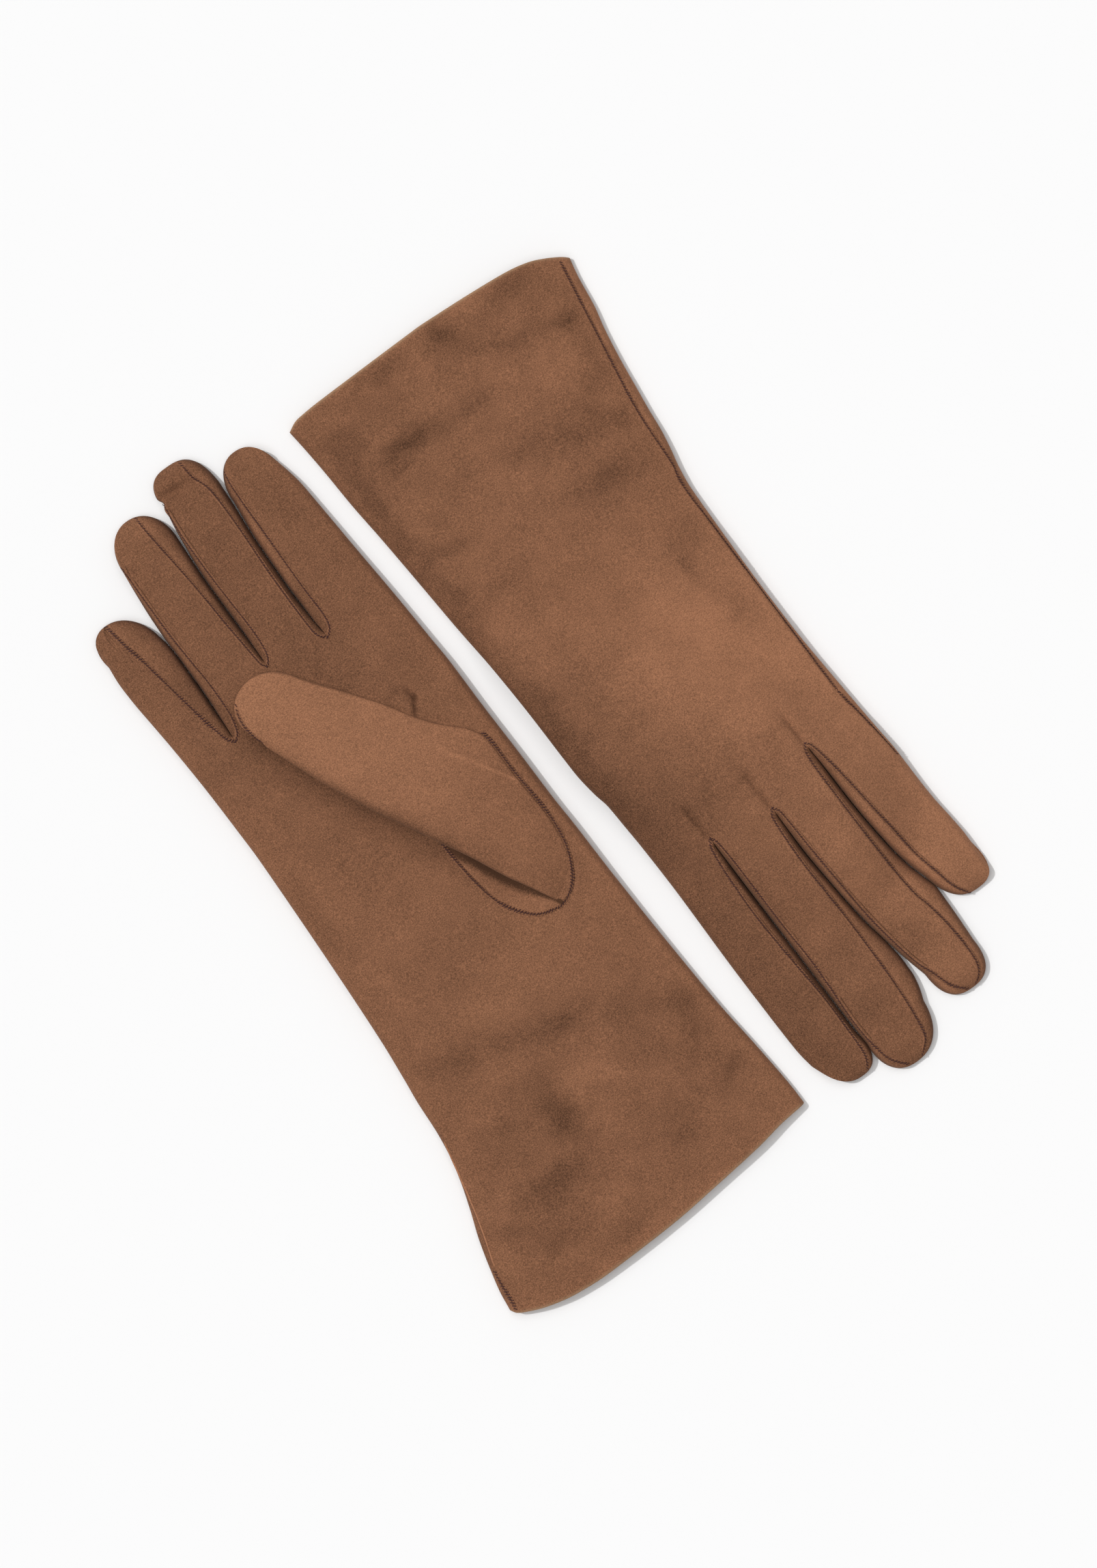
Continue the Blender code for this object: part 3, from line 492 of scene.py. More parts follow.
def nearest(x, y, line):
    """Distance in the plane from each point to a line of points."""
    flat = np.stack([np.ravel(x), np.ravel(y)], axis=1)
    a, b = line[:-1, :2], line[1:, :2]
    best = np.full(len(flat), 1e9)
    low, high = line[:, :2].min(0) - 6, line[:, :2].max(0) + 6
    near = np.flatnonzero(((flat >= low) & (flat <= high)).all(1))
    along = b - a
    size = (along**2).sum(1)
    for chunk in np.array_split(near, max(1, len(near) // 4000)):
        p = flat[chunk][:, None, :]
        t = np.clip(((p - a) * along).sum(2) / size, 0, 1)
        best[chunk] = np.sqrt((((a + t[..., None] * along) - p) ** 2).sum(2)).min(1)
    return best.reshape(np.shape(x))


# ---------------------------------------------------------------- the gloves' frames
def placement(glove):
    """From the glove's own frame, in millimetres, to the row frame, in metres."""
    joint = JOINTS[f"{glove['name']}_wrist_bend"]
    across = Vector(joint["axis"]) * (1 if glove["palm_up"] else -1)
    along = Vector((0, 0, 1)).cross(across)
    x, y = glove["bend_at"]
    origin = Vector(joint["pos_m"]) - (across * x + along * y) * MM
    rows = [(across[k] * MM, along[k] * MM, (0, 0, MM)[k], origin[k] if k < 2 else 0.0) for k in range(3)]
    return Matrix([*rows, (0, 0, 0, 1)])


def to_row(glove, points):
    """An array of points in the glove's frame, in the row frame."""
    m = np.array(glove["matrix"])
    return points @ m[:3, :3].T + m[:3, 3]


def prepare(glove):
    """Fills in what follows from a glove's own numbers."""
    glove["matrix"] = placement(glove)
    glove["left_edge"], glove["right_edge"] = curve(glove["little_side"]), curve(glove["index_side"])
    glove["hem_at"] = curve(glove["hem"])
    for gap in glove["gaps"]:
        down, up = path(gap["left"] + [gap["end"]]), path([gap["end"]] + gap["right"])
        gap["slit"] = gap["end"][1]
        gap["seam_left"] = branch(down[::-1])
        gap["seam_right"] = branch(up)
    for i, name in enumerate(ORDER):
        finger = glove["fingers"][name]
        finger["gaps"] = (glove["gaps"][i - 1] if i else None, glove["gaps"][i] if i < 3 else None)
        for side, gap in zip(("left", "right"), finger["gaps"]):
            own = finger[side]
            if gap is None:
                finger[side + "_at"] = glove[side + "_edge"]
            else:
                start = own[0][0]
                finger[side + "_at"] = curve([p for p in gap["valley"] if p[0] < start] + own)


def branch(line):
    """x as a function of y, for half of a gap's seam."""
    y = np.maximum.accumulate(line[:, 1])
    return lambda at: np.interp(at, y, line[:, 0])


def thumb_frame(glove, x, y):
    """x and y as distance along the thumb from its bend line, and across it."""
    dx, dy = x - THUMB_ROOT[0], y - THUMB_ROOT[1] - glove["thumb_drop"]
    c, s = math.cos(THUMB_TILT), math.sin(THUMB_TILT)
    return c * dy - s * dx, c * dx + s * dy


def from_thumb(glove, along, across):
    """x and y from the distance along the thumb and across it."""
    c, s = math.cos(THUMB_TILT), math.sin(THUMB_TILT)
    x0, y0 = THUMB_ROOT[0], THUMB_ROOT[1] + glove["thumb_drop"]
    return x0 - s * along + c * across, y0 + c * along + s * across


def lift(glove, x, y):
    """How far the palm is held up by a thumb folded under it."""
    if glove["palm_up"]:
        return np.zeros(np.shape(x))
    along, across = thumb_frame(glove, x, y)
    away = np.hypot(along - np.clip(along, -26, 66), across + 6) - THUMB_LIFT_RADIUS
    return THUMB_LIFT * (1 - smooth(away / THUMB_LIFT_FALL))


# ---------------------------------------------------------------- the glove's upper and under surface
def quick(d, radius):
    """0 at an edge, rising to 1 at the radius, upright at the edge."""
    return np.sqrt(1 - (1 - np.clip(d / radius, 0, 1)) ** 2)


def edges(glove, x, y):
    """Distance from the nearer of the glove's two outer sides."""
    return np.minimum(x - glove["left_edge"](y), glove["right_edge"](y) - x)


def fold_height(glove, x, y):
    """How high a glove's folded edge is, where its upper and under sides meet."""
    return lift(glove, x, y) + fold_share(glove, x, y) * THICKNESS(y)


def fold_share(glove, x, y):
    """The height of a glove's folded edge, as a share of its thickness."""
    return FOLD_SHARE(y) * np.interp(x, (-40, 40), glove["fold_sides"])


def upper_height(glove, x, y, plain=False):
    """The height of the upper side. If plain, it has no dents and no unevenness."""
    d = np.maximum(edges(glove, x, y), 0)
    rise = sum(share * quick(d, radius) for share, radius in UPPER_ROUND)
    height = (1 - fold_share(glove, x, y)) * THICKNESS(y) - EDGE_HALF
    z = fold_height(glove, x, y) + EDGE_HALF + height * rise
    if plain:
        return z
    if glove["palm_up"]:
        z = z - smooth(d / 3) * palm_dent(glove, x, y)
    return z + smooth(d / 7) * undulation(glove, x, y)


def under_height(glove, x, y, plain=False):
    """The height of the under side. If plain, it has no dents."""
    d = np.maximum(edges(glove, x, y), 0)
    depth = fold_share(glove, x, y) * THICKNESS(y) - EDGE_HALF - STAND_OFF
    z = fold_height(glove, x, y) - EDGE_HALF - depth * quick(d, UNDER_ROUND)
    if plain or glove["palm_up"]:
        return z
    return z + UNDER_DENT * smooth(d / 3) * palm_dent(glove, x, y)


def thumb_valley(glove, x, y):
    """How far the palm is pressed in beside and under the thumb's fold."""
    fold_at, _ = glove["thumb_sides"]
    along, across = thumb_frame(glove, x, y)
    beside = fold_at(along) - across
    reach = np.where(beside > 0, 1 - beside / DENT_BESIDE, 1 + beside / DENT_UNDER)
    ends = smooth((along + 50) / 24) * smooth((84 - along) / 22)
    return DENT_DEPTH * smooth(reach) ** 1.15 * ends


def palm_dent(glove, x, y):
    """How far the palm is pressed in beside the thumb, and inside the thumb's hole."""
    hole = HOLE_DEPTH * smooth(nearest(x, y, glove["hole_line"]) / 4.0)
    return thumb_valley(glove, x, y) + np.where(in_hole(glove, x, y), hole, 0.0)


def undulation(glove, x, y):
    """The leather's gentle unevenness on the upper side."""
    seed = glove["seed"]
    loose = 0.35 + 0.75 * smooth((-45 - y) / 60)
    z = loose * layered(0, x, y, BROAD, seed) + layered(0, x, y, FINE, seed + len(BROAD))
    for dent in glove["dents"]:
        z = z + dent_height(dent, x, y)
    return z + wrinkles(x, y, glove["wrinkled"])


def dent_height(dent, x, y):
    """A soft groove (or, if its depth is negative, a ridge) along a short line."""
    (x0, y0), (x1, y1), width, depth = dent
    along = np.array([x1 - x0, y1 - y0])
    length = np.linalg.norm(along)
    u, v = along / length
    a = (x - x0) * u + (y - y0) * v
    b = -(x - x0) * v + (y - y0) * u
    over = np.maximum(np.maximum(-a, a - length), 0)
    return -depth * np.exp(-((b / width) ** 2) - (over / (1.8 * width)) ** 2)


def wrinkles(x, y, places):
    """Fine wrinkles that run across the glove near some places."""
    z = 0
    for cx, cy, sx, sy, amount in places:
        near = np.exp(-(((x - cx) / sx) ** 2) - ((y - cy) / sy) ** 2)
        z = z + amount * near * noise(x * 0.34 + 3, y + 0.12 * x, 1.7, 71)
    return z


# ---------------------------------------------------------------- meshes
def add_mesh(name, points, faces, finish, attributes=None, sharp=None):
    """A piece from points in the row frame, with the attributes that the suede reads."""
    mesh = bpy.data.meshes.new(name)
    mesh.from_pydata(points.tolist(), [], faces)
    mesh.validate()
    mesh.shade_smooth()
    if sharp:
        wanted = {tuple(sorted(e)) for e in sharp}
        keys = np.array([e.key for e in mesh.edges])
        flags = [tuple(k) in wanted for k in keys.tolist()]
        layer = mesh.attributes.get("sharp_edge") or mesh.attributes.new("sharp_edge", "BOOLEAN", "EDGE")
        layer.data.foreach_set("value", flags)
    rest = mesh.attributes.new("rest", "FLOAT_VECTOR", "POINT")
    rest.data.foreach_set("vector", points.astype(np.float32).ravel())
    for key in ("tone", "crease", "inside", "rim"):
        values = np.ravel((attributes or {}).get(key, np.zeros(len(points))))
        layer = mesh.attributes.new(key, "FLOAT", "POINT")
        layer.data.foreach_set("value", values.astype(np.float32))
    mesh.materials.append(finish)
    obj = bpy.data.objects.new(name, mesh)
    bpy.context.scene.collection.objects.link(obj)
    return obj


def grid_faces(rows, columns, closed, flip=False, start=0):
    """The faces between the points of a grid, closed round its columns or open."""
    faces = []
    for r in range(rows - 1):
        for c in range(columns if closed else columns - 1):
            n = (c + 1) % columns
            quad = (start + r * columns + c, start + r * columns + n, start + (r + 1) * columns + n,
                    start + (r + 1) * columns + c)
            faces.append(quad[::-1] if flip else quad)
    return faces


def across_shares(count):
    """Shares of a width for the columns of the hand, closer together at both edges."""
    near = NEAR_EDGE / 100
    middle = np.linspace(near[-1], 1 - near[-1], count)
    return np.concatenate([near[:-1], middle, (1 - near[:-1])[::-1]])


def make_hand(glove, suede):
    """The trank, from where the fingers part down to the hem, where it is turned inside the cuff."""
    upper_u, under_u = (across_shares(count) for count in HAND_COLUMNS)
    share = np.concatenate([upper_u, under_u[::-1]])
    is_upper = np.arange(len(share)) < len(upper_u)
    hem = glove["hem_at"](2 * share - 1)
    y = hem + (glove["split"] - hem) * np.linspace(0, 1, HAND_ROWS)[:, None]
    left, right = glove["left_edge"](y), glove["right_edge"](y)
    x = left + (right - left) * share
    z = np.where(is_upper, upper_height(glove, x, y), under_height(glove, x, y))
    mouth = turned_mouth(glove, share, is_upper, hem)
    rows = np.concatenate([mouth[::-1], np.stack([x, y, z], axis=2)])
    inside = np.zeros(rows.shape[:2])
    inside[: len(mouth) - 1] = 1.0
    # The rim lightens the row at the hem's edge: its raw cut edge, with a painted highlight where that
    # rounded edge catches the light.
    from_edge = np.abs(np.arange(len(rows)) - len(mouth) + 0.5)
    faces = grid_faces(*inside.shape, closed=True, flip=True)
    return add_mesh(
        f"{glove['name']}_trank", to_row(glove, rows.reshape(-1, 3)), faces, suede,
        dict(inside=inside, tone=nap_tone(glove, rows[..., 0], rows[..., 1]),
             rim=np.exp(-(from_edge**2))[:, None] + 0 * inside),
    )


def turned_mouth(glove, share, is_upper, hem):
    """Rows for the hem's rounded edge and for the leather turned up inside the cuff."""
    rows = []
    for depth, wall in MOUTH:
        y = hem + depth
        left, right = glove["left_edge"](y), glove["right_edge"](y)
        x = left + (right - left) * share
        z = np.where(is_upper, upper_height(glove, x, y, True), under_height(glove, x, y, True))
        fold = fold_height(glove, x, y)
        room = np.abs(z - fold)
        z = fold + np.sign(z - fold) * np.maximum(room - wall, 0.12 * room)
        centre = (left + right) / 2
        rows.append(np.stack([centre + (x - centre) * (1 - 2 * wall / (right - left)), y, z], axis=1))
    return np.array(rows)


def in_hole(glove, x, y):
    """Whether a point is inside the thumb's hole."""
    ring = glove["hole_ring"]
    count = np.zeros(np.shape(x), int)
    for (x0, y0), (x1, y1) in zip(ring, np.roll(ring, -1, axis=0)):
        crosses = (y0 > y) != (y1 > y)
        at = x0 + (y - y0) * (x1 - x0) / (y1 - y0 if y1 != y0 else 1e-9)
        count += (crosses & (x < at)).astype(int)
    return count % 2 == 1


def nap_tone(glove, x, y):
    """Where the nap lies darker or lighter, from about -1 to 1, in patches with ragged sides, with painted
    shade in narrow grooves and in the palm's dent beside the thumb, and painted light along the folded edge
    that faces away from the light.
    """
    wx, wy = layered(x, x, y, RAGGED_X, 5), layered(y, x, y, RAGGED_Y, 7)
    tone = np.interp(x, (-45, 45), glove["slope"]) * smooth((y + 60) / 60)
    # Painted shade along the narrow grooves, as deep as each groove; a narrow ridge would get painted light.
    for dent in glove["dents"]:
        if dent[2] < 1.7:
            tone = tone + GROOVE_SHADE * dent_height(dent, x, y)
    # Darker over the fingers of the glove that lies palm up, and painted shade in the palm's dent beside and
    # under the thumb.
    if glove["palm_up"]:
        valley = (thumb_valley(glove, x, y) / DENT_DEPTH) ** 1.6
        tone = tone + FINGERS_TONE * smooth((y - 50) / 30) + VALLEY_SHADE * valley
    # Painted light along the folded edge that faces away from the light, where that edge would otherwise fall
    # into shade.
    for worn, beside in zip(glove["worn"], (x - glove["left_edge"](y), glove["right_edge"](y) - x)):
        tone = tone + worn * np.exp(-np.maximum(beside, 0) / 2.4)
    tone = tone + HEM_TONE * np.exp(-(((y + 140.5) / 3.5) ** 2))
    loose = 0.35 + 0.65 * smooth((-40 - y) / 50)
    tone = tone + loose * layered(0, wx, wy, MOTTLE, glove["seed"] + 9)
    for bx, by, sx, sy, turn, amount in glove["nap"]:
        c, s = math.cos(math.radians(turn)), math.sin(math.radians(turn))
        a, b = c * (wx - bx) + s * (wy - by), -s * (wx - bx) + c * (wy - by)
        tone = tone + NAP * amount * np.exp(-((a / sx) ** 2) - (b / sy) ** 2)
    return tone


def finger_rows(glove, finger):
    """Stations along a finger, closer together in its tip, with how far each is into the tip."""
    cap, tip = finger["cap"], finger["tip"][1]
    body = np.linspace(glove["split"], cap, int((cap - glove["split"]) / FINGER_STEP))
    into = np.sin(np.linspace(0, 1, TIP_ROWS)[1:] * np.pi / 2)
    into[-1] = NEARLY
    return np.concatenate([body, cap + (tip - cap) * into]), np.concatenate([np.zeros(len(body)), into])


def finger_shape(glove, finger):
    """What both sides of a finger share: the rows along it, and its outline at each."""
    y, into = finger_rows(glove, finger)
    past = np.maximum(y - finger["cap"], 0)
    nominal = np.where(past > 0, finger["cap"] + 4 * (1 - np.exp(-past / 4)), y)
    left, right = finger["left_at"](nominal), finger["right_at"](nominal)
    middle = (left + right) / 2
    shrink = (1 - into ** finger["blunt"]) ** (1 / finger["blunt"])
    return dict(
        y=y, nominal=nominal, left=left, right=right, middle=middle, shrink=shrink,
        half=(right - left) / 2 * shrink, centre=middle + (finger["tip"][0] - middle) * into,
        thin=((1 - into**2.3) ** 0.5)[:, None],
    )


def make_finger(glove, name, suede):
    """One finger as a closed tube: strips of trank above and below, and the fourchettes between them."""
    finger = glove["fingers"][name]
    shape = finger_shape(glove, finger)
    upper, upper_deep = finger_side(glove, finger, shape, upper=True)
    under, under_deep = finger_side(glove, finger, shape, upper=False)
    rows = np.concatenate([upper, under], axis=1)
    deep = np.concatenate([upper_deep, under_deep], axis=1)
    count, columns = deep.shape
    faces = grid_faces(count, columns, closed=True, flip=True)
    faces.append([(count - 1) * columns + c for c in range(columns)])
    sharp = []
    for c, side in ((0, 0), (upper.shape[1] - 1, 1), (upper.shape[1], 1), (columns - 1, 0)):
        if finger["gaps"][side] is not None:
            sharp += [(r * columns + c, (r + 1) * columns + c) for r in range(count - 1)]
    # Painted shade in the slits between the fingers: darker the deeper the leather lies in the gap.
    crease = glove["slit_dark"] * smooth((deep - 0.06) / 0.6)
    tone = finger_tone(glove, finger, shape, rows, deep)
    return add_mesh(
        f"{glove['name']}_{name}_finger", to_row(glove, rows.reshape(-1, 3)), faces, suede,
        dict(crease=crease, tone=tone), sharp,
    )


def finger_tone(glove, finger, shape, rows, deep):
    """A finger's nap, with painted shade on its fourchettes near the slits' ends, painted light on the
    fourchettes that face the light and painted shade on those that face away.
    """
    x, centre = rows[..., 0], shape["centre"][:, None]
    lit = np.sign(centre - x) * (1 if glove["palm_up"] else -1)
    slits = [-1e3 if gap is None else gap["slit"] for gap in finger["gaps"]]
    beyond = shape["y"][:, None] - np.where(x < centre, *slits)
    # Painted shade on the fourchettes near the slits' ends, deep in the narrow gap, lighter nap farther on;
    # then painted light or shade on each fourchette by the way it faces the light.
    inner = 0.5 - 1.3 * (1 - smooth(beyond / 45))
    fourchette = inner * smooth(deep / 0.03) + 0.6 * lit * smooth((deep - 0.06) / 0.25)
    return nap_tone(glove, x, rows[..., 1]) + fourchette * (1 - deep)


def finger_side(glove, finger, shape, upper):
    """The upper or under side of a finger, and how deep each point lies in the gap beside the finger."""
    x, deep = finger_columns(finger, shape, upper)
    y = np.broadcast_to(shape["y"][:, None], x.shape)
    fold = fold_height(glove, x, y)
    if upper:
        z = upper_height(glove, x, y) + crown(glove, x, y, shape["centre"], shape["half"])
        z = fold + (EDGE_HALF + (z - fold - EDGE_HALF) * (1 - deep)) * shape["thin"]
    else:
        z = under_height(glove, x, y)
        z = fold - (EDGE_HALF + (fold - z - EDGE_HALF) * (1 - deep)) * shape["thin"]
    return np.stack([x, y, z], axis=2), deep


def crown(glove, x, y, centre, half):
    """A finger's own roundness across."""
    s = np.clip((x - centre[:, None]) / np.maximum(half[:, None], 0.5), -1, 1)
    return CROWN * (1 - s**2) * smooth((y - glove["split"] - 14) / 30)


def finger_columns(finger, shape, upper):
    """Columns across a finger's upper or under side, and how deep each lies in the gap beside it."""
    left, left_deep = side_columns(finger, shape, upper, 0)
    right, right_deep = side_columns(finger, shape, upper, 1)
    width = right[-1] - left[-1]
    count, last = FINGER_COLUMNS[0 if upper else 1], NEAR_SEAM[-1]
    inner = [near + 0 * width for near in NEAR_SEAM]
    inner += [last + (width - 2 * last) * k / (count + 1) for k in range(1, count + 1)]
    inner += [width - near for near in reversed(NEAR_SEAM)]
    x = left + [left[-1] + np.clip(offset, 0.02 * width, 0.98 * width) for offset in inner] + right[::-1]
    x = shape["centre"][:, None] + (np.stack(x, 1) - shape["middle"][:, None]) * shape["shrink"][:, None]
    x = x + nick(finger, shape, x)
    deep = np.stack(left_deep + [0 * width for _ in inner] + right_deep[::-1], 1)
    return (x, deep) if upper else (x[:, ::-1], deep[:, ::-1])


def side_columns(finger, shape, upper, side):
    """Columns from a finger's left (0) or right (1) outline to its seam, and each one's depth in the gap."""
    gap, edge, sign = finger["gaps"][side], shape[("left", "right")[side]], (1, -1)[side]
    if gap is None:
        return [edge + sign * near for near in NEAR_EDGE], [0 * edge for _ in NEAR_EDGE]
    wide = np.maximum(sign * (seam_x(finger, side, gap, shape["nominal"], upper) - edge), 0.02)
    apart = SLIT_HALF * smooth((shape["y"] - slit_of(gap, upper)) / 3)
    start = edge + sign * apart
    x = [start + sign * (np.maximum(wide, 0.9) - apart) * share for share in FAN]
    return x, [gap_depth(gap, shape, sign * (each - start), wide, upper) for each in x]


def slit_of(gap, upper):
    """Where a gap's slit ends, along the glove."""
    return gap["slit"] if upper else gap["under_slit"]


def seam_x(finger, side, gap, y, upper):
    """Where a finger's seam is, across, at y."""
    if upper:
        return gap["seam_right"](y) if side == 0 else gap["seam_left"](y)
    edge = finger[("left", "right")[side] + "_at"](y)
    return edge + (1, -1)[side] * UNDER_SEAM * np.clip((y - gap["under_slit"]) / 7, 0, 1) ** 0.5


def nick(finger, shape, x):
    """A small notch in a finger's left outline."""
    if "nick" not in finger:
        return 0
    at, depth, width = finger["nick"]
    bite = depth * np.exp(-(((shape["y"] - at) / width) ** 2))[:, None]
    outwards = (shape["centre"][:, None] - x) / np.maximum(shape["half"][:, None], 1)
    return bite * np.clip(outwards, 0, 1) ** 2


def gap_depth(gap, shape, from_edge, wide, upper):
    """How deep the leather lies in a gap: 0 at the seam and 1 at the bottom of the valley.
    A fourchette slopes gently from its seam, then rolls over into the valley."""
    past = shape["y"] - slit_of(gap, upper) - SLIT_LIP
    slope = (0.20 + 0.26 * smooth(past / 60)) * np.clip(1 - from_edge / wide, 0, 1) ** 1.4
    roll = 1 - quick(from_edge, np.minimum(1.7, 0.7 * wide + 0.05))
    opened = 0.34 * smooth(past / 2.5) + 0.66 * smooth((past - 1) / 16)
    return opened * (1 - (1 - slope) * (1 - roll))


# ---------------------------------------------------------------- thumb
def thumb_sides():
    """Both sides of the thumb across it, as functions of the distance along it."""
    flat = dict(thumb_drop=0.0)
    return [curve([thumb_frame(flat, *point) for point in points]) for points in (THUMB_FOLD, THUMB_FAR)]


def thumb_point(glove, along, angle):
    """A point of the thumb, in the glove's frame: angle is 0 at its fold, pi at its far side."""
    fold_at, far_at = glove["thumb_sides"]
    into = np.clip((along - THUMB_CAP) / (THUMB_TIP - THUMB_CAP), 0, NEARLY)
    nominal = np.minimum(along, THUMB_CAP)
    left, right = fold_at(nominal), far_at(nominal) - 0.6 * smooth((14 - along) / 8)
    middle = (left + right) / 2
    half = (right - left) / 2 * (1 - into**2.2) ** (1 / 2.2)
    s = -np.cos(angle)
    s = np.sign(s) * np.abs(s) ** 0.9
    x, y = from_thumb(glove, along, middle + (THUMB_TIP_ACROSS - middle) * into + half * s)
    above = np.sin(angle) >= 0
    height = thumb_height(along, s, half, above, (1 - into**2.4) ** 0.5)
    rough = layered(0, x, y, THUMB_ROUGH, glove["seed"] + 5)
    rough = rough * smooth((1 - np.abs(s)) / 0.3) * above * smooth((along + 46) / 10)
    if glove["palm_up"]:
        rough = rough + 0.30 * dent_height(THUMB_PINCH, x, y) * above
        z = upper_height(glove, x, y, True) + (height + rough)
    else:
        z = under_height(glove, x, y, True) - (THUMB_PRESSED * height + rough)
    return np.stack([x, y, np.maximum(z, STAND_OFF + 0.05)], axis=-1)


def thumb_height(along, s, half, above, thin):
    """How high a point of the thumb is over the palm: s is its place across, from -1 at the fold to 1."""
    far = ((1 + s) / 2) ** 0.85
    line = THUMB_NEAR_MIDDLE(along) * (1 - far) + THUMB_FAR_MIDDLE(along) * far
    top = THUMB_NEAR_TOP(along) * (1 - far) + THUMB_FAR_TOP(along) * far
    rounded = quick((1 + s) * half, np.minimum(THUMB_ROLL(along), half + 0.01))
    rounded = rounded * quick((1 - s) * half, np.minimum(THUMB_FAR_ROLL, half + 0.01))
    below = THUMB_BELOW(along) * np.maximum(1 - np.abs(s) ** 2.4, 0) ** 0.62
    return line + np.where(above, (top - line) * rounded, -below) * thin


def make_thumb(glove, suede):
    """The thumb, from the bottom of its hole to its tip, lying on the palm with its fold held up."""
    tip = THUMB_CAP + (THUMB_TIP - THUMB_CAP) * np.sin(np.linspace(0, 1, 24)[1:] * np.pi / 2)
    along = np.concatenate([np.linspace(THUMB_START, THUMB_CAP, THUMB_ROWS), tip])
    above, below = THUMB_ANGLES
    angle = np.concatenate([np.linspace(0, math.pi, above), np.linspace(math.pi, 2 * math.pi, below)[1:-1]])
    rows = thumb_point(glove, along[:, None], angle[None, :])
    count, columns = rows.shape[:2]
    way = -1 if glove["palm_up"] else 1
    faces = grid_faces(count, columns, closed=True, flip=glove["palm_up"])
    faces.append([c for c in range(columns)][::way])
    faces.append([(count - 1) * columns + c for c in range(columns)][::-way])
    tone = thumb_tone(glove, along, angle, rows)
    name = f"{glove['name']}_thumb_leather"
    return add_mesh(name, to_row(glove, rows.reshape(-1, 3)), faces, suede, dict(tone=tone))


def thumb_tone(glove, along, angle, rows):
    """The thumb's nap: lighter towards its tip, with painted shade where its fold rolls over and a painted
    highlight along the pinched ridge.
    """
    x, y = rows[..., 0], rows[..., 1]
    # Painted shade where the thumb's fold rolls over, short of its tip.
    rolled = np.exp(-(((1 - np.cos(angle)) * 15 / 2.6) ** 2)) * smooth((70 - along) / 20)[:, None]
    # A painted highlight along the pinched ridge.
    pinch = 1.3 * dent_height(THUMB_PINCH, x, y) if glove["palm_up"] else 0
    tone = pinch + nap_tone(glove, x, y) * 0.35 + THUMB_TONE(along)[:, None]
    return tone - 1.3 * rolled * smooth((along + 24) / 26)[:, None]


def make_thumb_base(glove, suede):
    """The near part of the thumb's base, from its seam in the palm to where the thumb's fold hides it."""
    fold_at, far_at = glove["thumb_sides"]
    side, height = (1, upper_height) if glove["palm_up"] else (-1, under_height)
    seam = path(BASE_SEAM, 0.6)
    along, start = thumb_frame(dict(thumb_drop=0.0), seam[:, 0], seam[:, 1])
    low = smooth((-36 - along) / 7)
    stop = (fold_at(along) + 5) * (1 - low) + far_at(along) * low
    share = np.linspace(0, 1, BASE_COLUMNS)
    across = start[:, None] + np.maximum(stop - start, 0.4)[:, None] * share
    x, y = from_thumb(glove, along[:, None] + 0 * across, across)
    dent = (1.0 if glove["palm_up"] else UNDER_DENT) * thumb_valley(glove, x, y)
    swell = 0.1 + 0.6 * np.exp(-(((share - 0.35) / 0.22) ** 2)) * smooth((along + 46) / 8)[:, None]
    swell = swell * smooth((across - start[:, None] - 0.3) / 1.6)
    z = height(glove, x, y, True) + side * (swell - dent)
    points, faces = slab(np.stack([x, y, z], axis=2), side)
    tone = np.tile(np.ravel(base_tone(along, fold_at(along)[:, None] - across, low)), 2)
    return add_mesh(f"{glove['name']}_thumb_gusset", to_row(glove, points), faces, suede, dict(tone=tone))


def slab(top, side):
    """Points and faces of a thin sheet whose outer surface is a grid facing up (1) or down (-1)."""
    count, columns = top.shape[:2]
    total = count * columns
    points = np.concatenate([top.reshape(-1, 3), top.reshape(-1, 3) - [0, 0, side * BASE_THICK]])
    faces = grid_faces(count, columns, False, flip=side > 0)
    faces += [tuple(i + total for i in face[::-1]) for face in faces]
    edge = [c for c in range(columns)] + [r * columns + columns - 1 for r in range(1, count)]
    edge += [(count - 1) * columns + c for c in range(columns - 2, -1, -1)]
    edge += [r * columns for r in range(count - 2, 0, -1)]
    for a, b in zip(edge, edge[1:] + edge[:1]):
        faces.append((a, b, b + total, a + total)[::side])
    return points, faces


def base_tone(along, beside, low):
    """The nap of the thumb's base, with painted shade in the crease beside the fold that it goes under, and
    under that fold.
    """
    wide = 0.9 + 3.2 * smooth((along + 48) / 14)[:, None]
    # Painted shade in the crease beside the thumb's fold.
    dark = smooth((wide - beside) / (0.8 * wide)) * smooth((beside + 1.2) / 0.5)
    under = smooth(-beside / 0.6)
    tone = (THUMB_TONE(-40.0) + 0.1) * (1 - under) + THUMB_TONE(along)[:, None] * under - 3.3 * dark
    # Painted shade where the base lies under the thumb's fold.
    return tone - 3.0 * under * (1 - low)[:, None]


# ---------------------------------------------------------------- stitches
def surface_tree(objects):
    """One tree for finding places on the surfaces of several meshes."""
    points, faces = [], []
    for obj in objects:
        base = len(points)
        points += [v.co.copy() for v in obj.data.vertices]
        faces += [[base + i for i in p.vertices] for p in obj.data.polygons]
    return BVHTree.FromPolygons(points, faces)


def drop(tree, x, y, side):
    """Where a surface's upper (1) or under (-1) side is, and not down in the slit beside a finger."""
    best = None
    for dx, dy in ((0, 0), (0.3, 0), (-0.3, 0), (0, 0.3), (0, -0.3)):
        start = Vector((x + dx * MM, y + dy * MM, RAY_START * side))
        hit, normal, _, _ = tree.ray_cast(start, Vector((0, 0, -side)))
        if hit is not None and (best is None or side * (hit.z - best[0].z) > MM):
            best = Vector((x, y, hit.z)), normal
    return best or tree.find_nearest(Vector((x, y, 0.005)))[:2]


